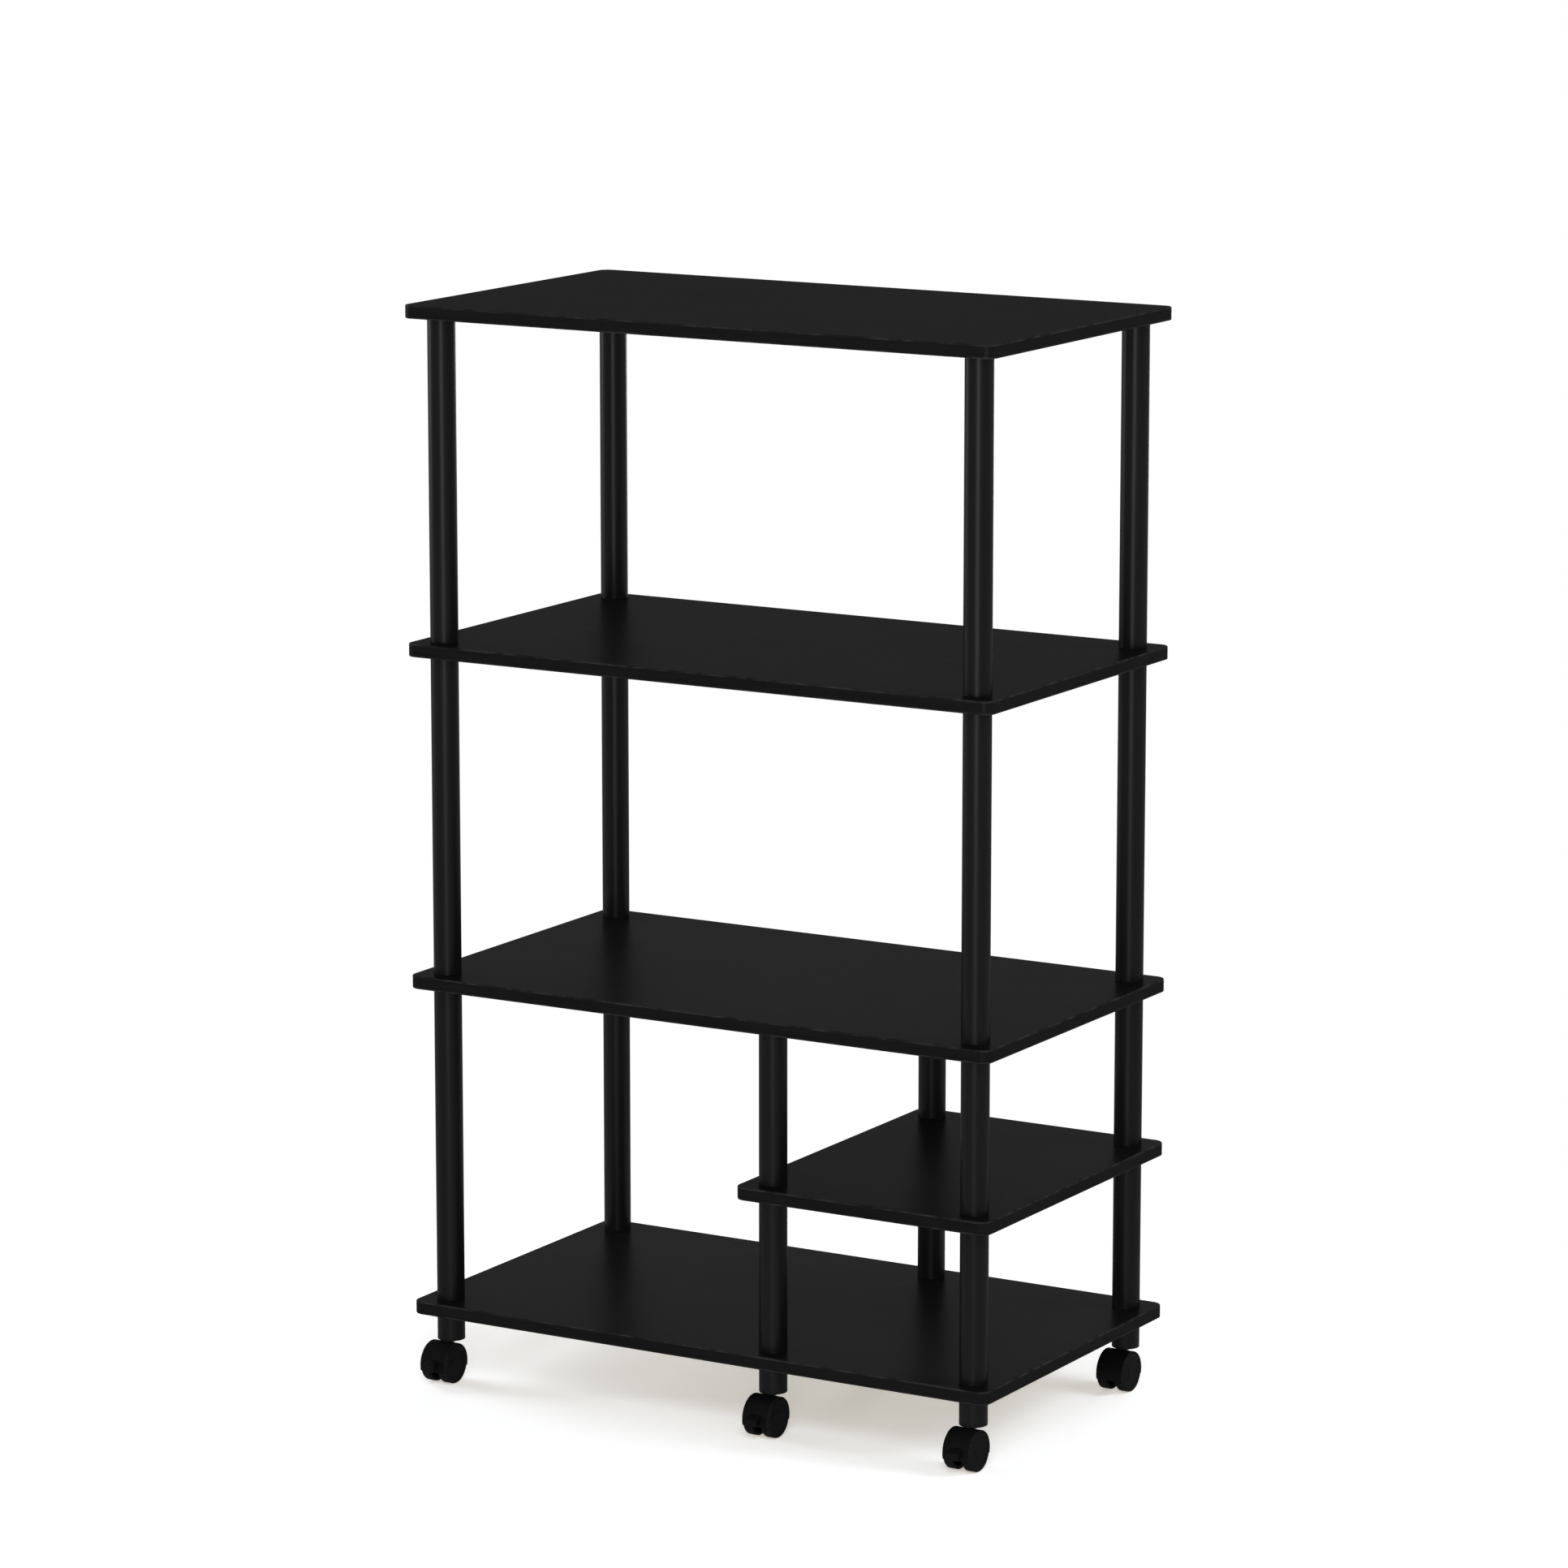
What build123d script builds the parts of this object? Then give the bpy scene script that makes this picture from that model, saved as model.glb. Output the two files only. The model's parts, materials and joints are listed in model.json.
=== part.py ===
from build123d import *
import os
from math import cos, radians, sin, sqrt

# Kitchen storage cart on six twin-wheel casters. Millimetres, +Z up, front towards -Y.
# Origin: floor level, under the middle of the overall footprint.

# Shelf boards
SHELF_WIDTH = 600.0
SHELF_DEPTH = 342.0
HALF_SHELF_WIDTH = 256.0
BOARD_THICKNESS = 12.0
CORNER_RADIUS = 10.5
EDGE_ROUND = 1.0
BLIND_HOLE_SKIN = 3.0

# Posts, which screw together through the boards
TUBE_DIAMETER = 25.4
TUBE_WALL = 1.5
POST_INSET = 26.0
BAY_HEIGHT = 294.0
LEG_LENGTH = 26.0

# Threaded plugs in the tube ends, with the threads as plain cylinders
PLUG_LENGTH = 20.0
STUD_DIAMETER = 15.5
STUD_ENGAGEMENT = 12.0
STUD_LEAD = 1.0
LEG_PLUG_FLOOR = 2.0

# Casters
WHEEL_DIAMETER = 35.6
WHEEL_WIDTH = 9.5
RIM_THICKNESS = 3.0
FACE_THICKNESS = 3.0
FACE_RECESS = 0.6
OUTER_TREAD_ROUND = 1.4
INNER_TREAD_ROUND = 1.0
HUB_WALL = 3.0
HUB_CAP_RIM = 1.5
AXLE_DIAMETER = 4.0
AXLE_COVER = 1.5
CASTER_TRAIL = 13.0
STEM_DIAMETER = 6.0
STEM_WALL = 1.2
STEM_LEAD = 0.5
STEM_FLOOR = 4.5
FENDER_THICKNESS = 1.2
FENDER_SETBACK = 0.5
FENDER_ROUND = 0.8
FENDER_DROP_ANGLE = 15.0
AXLE_BOSS_WALL = 5.0

# Brake levers on the front casters
BRAKE_TRAVEL = 15.0
PIVOT_DEPTH = 7.0
PIVOT_DROP = 1.0
TRUNNION_DIAMETER = 3.0
PIVOT_BOSS_WALL = 0.9
LEVER_ARM_WIDTH = 4.4
SHOE_DIAMETER = 2.8
SHOE_ANGLE = 40.0
SHOE_OVERLAP = 2.5
PEDAL_WIDTH = 11.0
PEDAL_REACH = 7.0
PEDAL_ROOT_HEIGHT = 7.0
PEDAL_TIP_HEIGHT = 3.0
PEDAL_TIP_DROP = 3.0
PEDAL_ROUND = 0.6
LEVER_NECK_DIAMETER = 4.0

# Clearances
PRESS_CLEARANCE = 0.02
RUNNING_CLEARANCE = 0.05
THREAD_CLEARANCE = 0.1
HOLE_CLEARANCE = 0.5
END_GAP = 0.3
WEB_CLEARANCE = 0.3
FENDER_CLEARANCE = 0.5
SWIVEL_CLEARANCE = 0.7
LEVER_CLEARANCE = 0.4
SHOE_CLEARANCE = 0.15
PEDAL_CLEARANCE = 0.5

# Caster sizes that follow from the ones above
wheel_radius = WHEEL_DIAMETER / 2
rim_inner_radius = wheel_radius - RIM_THICKNESS
hub_radius = AXLE_DIAMETER / 2 + HUB_WALL
web_half = STEM_DIAMETER / 2 + STEM_WALL
wheel_inner_x = web_half + WEB_CLEARANCE
wheel_outer_x = wheel_inner_x + WHEEL_WIDTH
axle_height = wheel_radius
fender_inner_radius = wheel_radius + FENDER_CLEARANCE
fender_radius = fender_inner_radius + FENDER_THICKNESS
fender_half = wheel_outer_x - FENDER_SETBACK
fender_drop = fender_radius * sin(radians(FENDER_DROP_ANGLE))
hood_top = axle_height + fender_radius
stem_seat = axle_height - fender_drop + STEM_FLOOR
pedal_front = fender_radius + PEDAL_REACH

# Heights above the floor
leg_bottom = hood_top + SWIVEL_CLEARANCE
bottom_board = leg_bottom + LEG_LENGTH
leg_floor = bottom_board - STUD_ENGAGEMENT - END_GAP - LEG_PLUG_FLOOR
bottom_bay = bottom_board + BOARD_THICKNESS
middle_board = bottom_bay + BAY_HEIGHT
middle_bay = middle_board + BOARD_THICKNESS
upper_board = middle_bay + BAY_HEIGHT
upper_bay = upper_board + BOARD_THICKNESS
top_board = upper_bay + BAY_HEIGHT
short_post_length = (BAY_HEIGHT - BOARD_THICKNESS) / 2
half_board = bottom_bay + short_post_length
half_bay = half_board + BOARD_THICKNESS

# Plan: the casters reach past the front edge, so the boards sit a little behind the origin
front_reach = SHELF_DEPTH / 2 - POST_INSET + CASTER_TRAIL + pedal_front
board_y = (front_reach - SHELF_DEPTH / 2) / 2
corner_x = SHELF_WIDTH / 2 - POST_INSET
middle_x = SHELF_WIDTH / 2 - HALF_SHELF_WIDTH + POST_INSET
half_shelf_x = (SHELF_WIDTH - HALF_SHELF_WIDTH) / 2
column_x = {"left": -corner_x, "middle": middle_x, "right": corner_x}
row_y = {"front": board_y - SHELF_DEPTH / 2 + POST_INSET, "rear": board_y + SHELF_DEPTH / 2 - POST_INSET}
full_columns = ("left", "right")
short_columns = ("middle", "right")

# Each column's tubes from the floor up: name of the tube, its lower end and its upper end
long_lower = [("lower_post", bottom_bay, middle_board)]
split_lower = [("lower_short_post", bottom_bay, half_board), ("upper_short_post", half_bay, middle_board)]
above = [("middle_post", middle_bay, upper_board), ("upper_post", upper_bay, top_board)]
column_tubes = {"left": long_lower + above, "middle": split_lower, "right": split_lower + above}

# The caster's side plane, centred on the axle: first axis +Y, second axis +Z
axle_plane = Plane((0, -CASTER_TRAIL, axle_height), x_dir=(0, 1, 0), z_dir=(1, 0, 0))


def upright(radius, low, high):
    """Cylinder along +Z between two heights."""
    return Pos(0, 0, low) * Cylinder(radius, high - low, align=(Align.CENTER, Align.CENTER, Align.MIN))


def across(sketch, half_width):
    """Caster solid as wide to the left as to the right, from a sketch in the side plane."""
    return extrude(axle_plane * sketch, amount=half_width, both=True)


def board(width, underside, x, through, blind=()):
    """Shelf board with its post holes: through holes, and blind ones from below.

    through and blind name the columns that pass the board and that end under it.
    """
    outline = RectangleRounded(width, SHELF_DEPTH, CORNER_RADIUS)
    panel = Pos(x, board_y, underside) * extrude(outline, amount=BOARD_THICKNESS)
    rims = panel.faces().filter_by(Axis.Z).edges()
    panel = fillet(rims, EDGE_ROUND)
    topside = underside + BOARD_THICKNESS
    passing = upright(STUD_DIAMETER / 2 + HOLE_CLEARANCE, underside, topside)
    seat = upright(STUD_DIAMETER / 2 + THREAD_CLEARANCE, underside, topside - BLIND_HOLE_SKIN)
    for y in row_y.values():
        for column in through:
            panel -= Pos(column_x[column], y) * passing
        for column in blind:
            panel -= Pos(column_x[column], y) * seat
    return panel


def tube(low, high):
    """Length of post tube."""
    return upright(TUBE_DIAMETER / 2, low, high) - upright(TUBE_DIAMETER / 2 - TUBE_WALL, low, high)


def plug(low, high):
    """Solid core that fills the end of a tube."""
    return upright(TUBE_DIAMETER / 2 - TUBE_WALL - PRESS_CLEARANCE, low, high)


def stud(low, high):
    """Threaded stud with lead-in chamfers."""
    shank = upright(STUD_DIAMETER / 2, low, high)
    return chamfer(shank.edges().filter_by(GeomType.CIRCLE), STUD_LEAD)


def socket(mouth):
    """Threaded hole, open upwards."""
    return upright(STUD_DIAMETER / 2 + THREAD_CLEARANCE, mouth - STUD_ENGAGEMENT - END_GAP, mouth)


def stud_plug(low):
    """Plug in the lower end of a tube, whose stud passes the board into the tube below."""
    return plug(low, low + PLUG_LENGTH) + stud(low - BOARD_THICKNESS - STUD_ENGAGEMENT, low + STUD_LEAD)


def socket_plug(high):
    """Plug in the upper end of a tube, with a threaded hole."""
    return plug(high - PLUG_LENGTH, high) - socket(high)


def board_stud(underside):
    """Stud fixed in a blind hole of a board, standing down into the tube below."""
    return stud(underside - STUD_ENGAGEMENT, underside + BOARD_THICKNESS - BLIND_HOLE_SKIN - END_GAP)


def leg_plug():
    """Core of a leg: threaded hole above, caster stem bore below."""
    bore = upright(STEM_DIAMETER / 2 + PRESS_CLEARANCE, leg_bottom, leg_floor)
    return plug(leg_bottom, bottom_board) - socket(bottom_board) - bore


def caster_stem():
    """Steel pin from the leg down into the caster's hood."""
    pin = upright(STEM_DIAMETER / 2, stem_seat + END_GAP, leg_floor - END_GAP)
    return chamfer(pin.edges().filter_by(GeomType.CIRCLE), STEM_LEAD)


def tread_edge(solid, nearest):
    """Tread edge of a wheel lying along +X: the inner one (nearest 0) or the outer one (nearest -1)."""
    widest = solid.edges().filter_by(GeomType.CIRCLE).group_by(SortBy.RADIUS)[-1]
    return widest.sort_by(Axis.X)[nearest]


def wheel(side):
    """Wheel on the left (side -1) or right (side 1) of a caster, hollow on its inner side."""
    face_x = wheel_outer_x - FACE_THICKNESS
    bore_radius = AXLE_DIAMETER / 2 + RUNNING_CLEARANCE
    cap_radius = hub_radius + HUB_CAP_RIM
    section = Polyline(
        (wheel_inner_x, bore_radius),
        (wheel_inner_x, hub_radius),
        (face_x, hub_radius),
        (face_x, rim_inner_radius),
        (wheel_inner_x, rim_inner_radius),
        (wheel_inner_x, wheel_radius),
        (wheel_outer_x, wheel_radius),
        (wheel_outer_x, rim_inner_radius + FACE_RECESS),
        (wheel_outer_x - FACE_RECESS, rim_inner_radius),
        (wheel_outer_x - FACE_RECESS, cap_radius + FACE_RECESS),
        (wheel_outer_x, cap_radius),
        (wheel_outer_x, 0),
        (wheel_outer_x - AXLE_COVER, 0),
        (wheel_outer_x - AXLE_COVER, bore_radius),
        close=True,
    )
    solid = revolve(make_face(section), Axis.X)
    solid = fillet(tread_edge(solid, 0), INNER_TREAD_ROUND)
    solid = fillet(tread_edge(solid, -1), OUTER_TREAD_ROUND)
    if side < 0:
        solid = Rot(0, 0, 180) * solid
    return Pos(0, -CASTER_TRAIL, axle_height) * solid


def axle():
    """Steel axle, fixed in the hood's web, that carries both wheels."""
    half = wheel_outer_x - AXLE_COVER - END_GAP
    return across(Circle(AXLE_DIAMETER / 2), half)


def turned(point, degrees_about_x):
    """Place of a lever point after the lever turns about its pivot."""
    return pivot + (point - pivot).rotate(Axis.Z, degrees_about_x)


# Brake lever points in the side plane: pivot, shoe when locked and at rest, neck under the pedal
pivot = Vector(-(fender_radius - PIVOT_DEPTH), -PIVOT_DROP)
shoe_locked_radius = rim_inner_radius - SHOE_CLEARANCE - SHOE_DIAMETER / 2
shoe_locked = Vector(-cos(radians(SHOE_ANGLE)), sin(radians(SHOE_ANGLE))) * shoe_locked_radius
shoe = turned(shoe_locked, -BRAKE_TRAVEL)
pedal_mid_height = (PEDAL_TIP_HEIGHT + PEDAL_ROOT_HEIGHT) / 2
neck = Vector(-(fender_radius + PEDAL_REACH / 2), pedal_mid_height / 2)
neck_locked = turned(neck, BRAKE_TRAVEL)
boss_radius = TRUNNION_DIAMETER / 2 + PIVOT_BOSS_WALL


def spot(point, radius):
    """Disc at a point of the side plane."""
    return Pos(point.X, point.Y) * Circle(radius)


def link(*discs):
    """Smooth outline stretched round discs."""
    return make_hull([edge for disc in discs for edge in disc.edges()])


def lever_outline(room, shoe_places, neck_places):
    """Lever arm seen from the side, grown by the room left around it."""
    middle = spot(pivot, boss_radius + room)
    shoes = [spot(place, SHOE_DIAMETER / 2 + room) for place in shoe_places]
    necks = [spot(place, LEVER_NECK_DIAMETER / 2 + room) for place in neck_places]
    return link(middle, *shoes) + link(middle, *necks)


def hood(braked):
    """Caster body: fender over both wheels, and the web between them with its bores.

    A braked hood also has the slot, the shoe window and the trunnion bore of a brake lever.
    """
    above_drop = Pos(0, -fender_drop) * Rectangle(
        2 * fender_radius, fender_drop + fender_radius, align=(Align.CENTER, Align.MIN))
    shell = across((Circle(fender_radius) - Circle(fender_inner_radius)) & above_drop, fender_half)
    rims = shell.edges().filter_by(lambda e: e.geom_type == GeomType.CIRCLE and
                                   e.radius > fender_inner_radius + FENDER_THICKNESS / 2)
    shell = fillet(rims, FENDER_ROUND)
    web = (Circle(fender_radius) & above_drop) + Circle(AXLE_DIAMETER / 2 + AXLE_BOSS_WALL)
    body = shell + across(web, web_half)
    body -= across(Circle(AXLE_DIAMETER / 2 + PRESS_CLEARANCE), web_half)
    body -= upright(STEM_DIAMETER / 2 + RUNNING_CLEARANCE, stem_seat, hood_top)
    if braked:
        slot = lever_outline(LEVER_CLEARANCE, [shoe, shoe_locked], [neck, neck_locked])
        body -= across(slot, LEVER_ARM_WIDTH / 2 + WEB_CLEARANCE)
        window = [spot(place, SHOE_DIAMETER / 2 + LEVER_CLEARANCE) for place in (shoe, shoe_locked)]
        body -= across(link(*window), web_half)
        body -= across(spot(pivot, TRUNNION_DIAMETER / 2 + RUNNING_CLEARANCE), web_half)
    return body


def brake_lever():
    """Foot pedal, arm and trunnions, with a shoe bar that reaches into both wheels."""
    side = Polyline(
        (-fender_inner_radius, PEDAL_ROOT_HEIGHT),
        (-pedal_front, PEDAL_TIP_HEIGHT),
        (-pedal_front, -PEDAL_TIP_DROP),
        (-fender_radius, -PIVOT_DROP),
        close=True,
    )
    pedal = across(make_face(side) - Circle(fender_radius + PEDAL_CLEARANCE), PEDAL_WIDTH / 2)
    front_edges = pedal.faces().sort_by(Axis.Y)[0].edges()
    pedal = fillet(front_edges, PEDAL_ROUND)
    arm = across(lever_outline(0, [shoe], [neck]), LEVER_ARM_WIDTH / 2)
    trunnions = across(spot(pivot, TRUNNION_DIAMETER / 2), web_half - RUNNING_CLEARANCE)
    shoe_bar = across(spot(shoe, SHOE_DIAMETER / 2), wheel_inner_x + SHOE_OVERLAP)
    return pedal + arm + trunnions + shoe_bar


boards = {
    "bottom_shelf": board(SHELF_WIDTH, bottom_board, 0, ("left", "middle", "right")),
    "half_shelf": board(HALF_SHELF_WIDTH, half_board, half_shelf_x, short_columns),
    "middle_shelf": board(SHELF_WIDTH, middle_board, 0, full_columns, ("middle",)),
    "upper_shelf": board(SHELF_WIDTH, upper_board, 0, full_columns),
    "top_shelf": board(SHELF_WIDTH, top_board, 0, (), full_columns),
}

nodes = dict(boards)
studs = []
sockets = []
leg_plugs = []
stems = []
plain_hood = hood(braked=False)
braked_hood = hood(braked=True)
for row, y in row_y.items():
    for column, x in column_x.items():
        place = Pos(x, y)
        corner = f"{row}_{column}"
        tubes = column_tubes[column]
        for name, low, high in tubes:
            nodes[f"{corner}_{name}"] = place * tube(low, high)
            studs.append(place * stud_plug(low))
            sockets.append(place * socket_plug(high))
        column_top = tubes[-1][2]
        studs.append(place * board_stud(column_top))
        nodes[f"{corner}_leg"] = place * tube(leg_bottom, bottom_board)
        leg_plugs.append(place * leg_plug())
        stems.append(place * caster_stem())
        braked = row == "front"
        nodes[f"{corner}_caster_hood"] = place * (braked_hood if braked else plain_hood)
        nodes[f"{corner}_caster_axle"] = place * axle()
        nodes[f"{corner}_caster_left_wheel"] = place * wheel(-1)
        nodes[f"{corner}_caster_right_wheel"] = place * wheel(1)
        if braked:
            nodes[f"{corner}_caster_brake_lever"] = place * brake_lever()

nodes["threaded_studs"] = Compound(children=studs)
nodes["threaded_sockets"] = Compound(children=sockets)
nodes["leg_plugs"] = Compound(children=leg_plugs)
nodes["caster_stems"] = Compound(children=stems)

os.makedirs("parts", exist_ok=True)
for name, shape in nodes.items():
    export_step(shape, f"parts/{name}.step")
print(len(nodes), "nodes")
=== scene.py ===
"""Looks of a kitchen storage cart.

Five black laminated boards stand on screwed tube posts, and six twin-wheel casters carry them. The
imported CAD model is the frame. Every piece that shows is made again here with a finer surface and stands
for its CAD node. The pieces inside the joints keep their CAD mesh and get a finish. Metres, +Z up, front
towards -Y.
"""

import json
import logging
import math
from dataclasses import dataclass, field
from enum import Enum
from typing import Any, ClassVar, Iterable, Mapping, NamedTuple, Sequence

import bmesh
import bpy
from mathutils import Matrix, Vector
from mathutils.geometry import convex_hull_2d


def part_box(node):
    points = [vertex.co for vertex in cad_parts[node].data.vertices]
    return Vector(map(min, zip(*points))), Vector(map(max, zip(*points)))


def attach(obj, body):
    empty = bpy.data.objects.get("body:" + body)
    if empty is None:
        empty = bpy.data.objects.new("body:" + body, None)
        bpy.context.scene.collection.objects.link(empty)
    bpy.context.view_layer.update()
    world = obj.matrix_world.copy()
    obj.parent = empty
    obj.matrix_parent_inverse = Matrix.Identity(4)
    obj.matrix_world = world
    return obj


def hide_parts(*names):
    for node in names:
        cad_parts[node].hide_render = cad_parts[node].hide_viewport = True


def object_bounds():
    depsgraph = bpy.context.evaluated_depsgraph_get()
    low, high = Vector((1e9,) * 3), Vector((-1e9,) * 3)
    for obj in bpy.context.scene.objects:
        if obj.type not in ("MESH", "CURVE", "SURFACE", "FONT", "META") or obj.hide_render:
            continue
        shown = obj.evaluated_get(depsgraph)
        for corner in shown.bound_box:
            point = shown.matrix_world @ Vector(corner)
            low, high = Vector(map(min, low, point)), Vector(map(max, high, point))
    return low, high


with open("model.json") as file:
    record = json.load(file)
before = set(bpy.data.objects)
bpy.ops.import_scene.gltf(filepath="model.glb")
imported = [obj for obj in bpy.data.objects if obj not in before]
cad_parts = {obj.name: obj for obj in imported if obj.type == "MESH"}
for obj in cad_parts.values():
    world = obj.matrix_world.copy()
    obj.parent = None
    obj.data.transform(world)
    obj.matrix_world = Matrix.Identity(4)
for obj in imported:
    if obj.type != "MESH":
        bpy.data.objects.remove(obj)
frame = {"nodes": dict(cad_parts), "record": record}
cad_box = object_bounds()

log = logging.getLogger("cart")

MM = 0.001
SHARP_ANGLE = math.radians(35)
WELD_DISTANCE = 0.001 * MM
SAME_PLACE = 0.05 * MM
QUARTER_TURN = math.pi / 2
FULL_TURN = 2 * math.pi
BAND_STEPS = 48
BEVEL_STEPS = 3
BODY_OF: dict[str, str] = {
    node: body for body, nodes in frame["record"]["behaviour"]["bodies"].items() for node in nodes
}

Colour = tuple[float, float, float, float]
Range = tuple[float, float]
Piece = bpy.types.Object
Socket = bpy.types.NodeSocket
Value = Any
Inputs = Mapping[str | int, Value]


class Slot(Enum):
    """Material slots of the record."""

    BOARD = "shelf_board"
    TUBE = "post_tube"
    HOOD = "caster_hood"
    WHEEL = "caster_wheel"
    LEVER = "brake_lever"


class Side(Enum):
    """Side of a caster on which a wheel sits, as a sign along X."""

    LEFT = -1
    RIGHT = 1


class Input(Enum):
    """Kinds of input that a shape tree takes."""

    NUMBER = "NodeSocketFloat"
    COUNT = "NodeSocketInt"
    VECTOR = "NodeSocketVector"
    FINISH = "NodeSocketMaterial"


class Carving(Enum):
    """Ways in which a solid changes a piece."""

    JOIN = "UNION"
    CUT = "DIFFERENCE"


def grey(level: float, warmth: float = 0.0) -> Colour:
    """Returns a near-neutral linear colour of a level, with red over blue by a share of it."""
    return (level * (1 + warmth / 2), level, level * (1 - warmth / 2), 1.0)


def scaled(colour: Colour, share: float) -> Colour:
    """Returns a colour with its brightness times a share."""
    red, green, blue, alpha = colour
    return (red * share, green * share, blue * share, alpha)


WHITE = grey(1.0)


@dataclass(frozen=True)
class Pattern:
    """Noise that draws the marks of a finish.

    Attributes:
        marks: marks per metre along X, Y and Z.
        detail: octaves of finer noise.
        window: range of the noise that is spread over the result, or None for the plain noise.
        result: range that the window is spread over.
    """

    marks: tuple[float, float, float]
    detail: float
    window: Range | None = None
    result: Range = (0.0, 1.0)


@dataclass(frozen=True)
class Relief:
    """Fine unevenness of a surface.

    Attributes:
        depth: what a height of 1 stands for.
        strength: share of the effect.
    """

    depth: float
    strength: float


class NodeSheet:
    """Adds nodes to one tree and joins them. A Value is a constant or an output socket."""

    # Sockets of a Mix node that mixes colours: factor, first and second colour, and the result.
    TINT_INPUTS = (0, 6, 7)
    TINT_OUTPUT = 2

    def __init__(self, tree: bpy.types.NodeTree) -> None:
        """Keeps the tree that the nodes go into."""
        self.tree = tree

    @classmethod
    def of(cls, owner: bpy.types.Material | bpy.types.World) -> "NodeSheet":
        """Empties the node tree of a material or a world.

        Args:
            owner: the material or world.

        Returns:
            A sheet for its nodes.
        """
        owner.use_nodes = True
        owner.node_tree.nodes.clear()
        return cls(owner.node_tree)

    def put(self, socket: Socket, value: Value) -> None:
        """Gives an input socket a constant, or joins it to an output socket.

        Args:
            socket: the input.
            value: what it gets.
        """
        if isinstance(value, Socket):
            self.tree.links.new(value, socket)
        else:
            socket.default_value = value

    def add(self, kind: str, inputs: Inputs | None = None, **settings: Any) -> bpy.types.Node:
        """Adds one node.

        Args:
            kind: Blender's name for the node type.
            inputs: value of each input socket that isn't left as it is, by name or index.
            settings: the node's own options.

        Returns:
            The new node.
        """
        node = self.tree.nodes.new(kind)
        for name, value in settings.items():
            setattr(node, name, value)
        for key, value in (inputs or {}).items():
            self.put(node.inputs[key], value)
        return node

    def output(self, kind: str, inputs: Inputs | None = None, **settings: Any) -> Socket:
        """Adds one node and returns its first output. Args as in add."""
        return self.add(kind, inputs, **settings).outputs[0]

    def attribute(self, name: str) -> Socket:
        """Returns the socket with a number that the mesh holds under a name."""
        return self.add("ShaderNodeAttribute", attribute_name=name).outputs["Fac"]

    def math(self, operation: str, *numbers: Value) -> Socket:
        """Returns the socket with the result of one of Blender's math operations."""
        return self.output("ShaderNodeMath", dict(enumerate(numbers)), operation=operation)

    def span(self, value: Value, source: Range, target: Range) -> Socket:
        """Returns the socket with a number mapped from one range to another, held at its ends."""
        return self.output("ShaderNodeMapRange", dict(enumerate((value, *source, *target))))

    def noise(self, coords: Value, pattern: Pattern) -> Socket:
        """Adds noise that is stretched along the axes.

        Args:
            coords: coordinates in metres.
            pattern: what the noise draws.

        Returns:
            The socket with the noise, about 0.5 on average where the pattern has no window.
        """
        mapped = self.output("ShaderNodeMapping", {"Vector": coords, "Scale": pattern.marks})
        inputs = {"Vector": mapped, "Scale": 1.0, "Detail": pattern.detail}
        noise = self.output("ShaderNodeTexNoise", inputs)
        return self.span(noise, pattern.window, pattern.result) if pattern.window else noise

    def blend(self, first: Value, share: float, second: Value) -> Socket:
        """Returns the socket with two patterns added: the first by its share, the second by the rest."""
        return self.math("MULTIPLY_ADD", first, share, self.math("MULTIPLY", second, 1 - share))

    def tint(self, factor: Value, first: Value, second: Value) -> Socket:
        """Returns the socket with two colours mixed: 0 gives the first and 1 the second."""
        inputs = dict(zip(self.TINT_INPUTS, (factor, first, second)))
        return self.add("ShaderNodeMix", inputs, data_type="RGBA").outputs[self.TINT_OUTPUT]

    def bump(self, height: Value, relief: Relief) -> Socket:
        """Returns the socket with the surface normal that a height, 0 to 1, gives."""
        inputs = {"Height": height, "Distance": relief.depth, "Strength": relief.strength}
        return self.output("ShaderNodeBump", inputs)


class Look(NamedTuple):
    """Patterns that a finish draws, each from 0 to 1.

    Attributes:
        figure: what the body's colour follows, about 0.5 on average.
        wear: where the surface is rubbed, stained or dusty; on the laminate's edges it is partly a
            painted highlight.
        sheen: what the roughness follows.
        height: the relief.
    """

    figure: Value
    wear: Value
    sheen: Value
    height: Value


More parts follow.
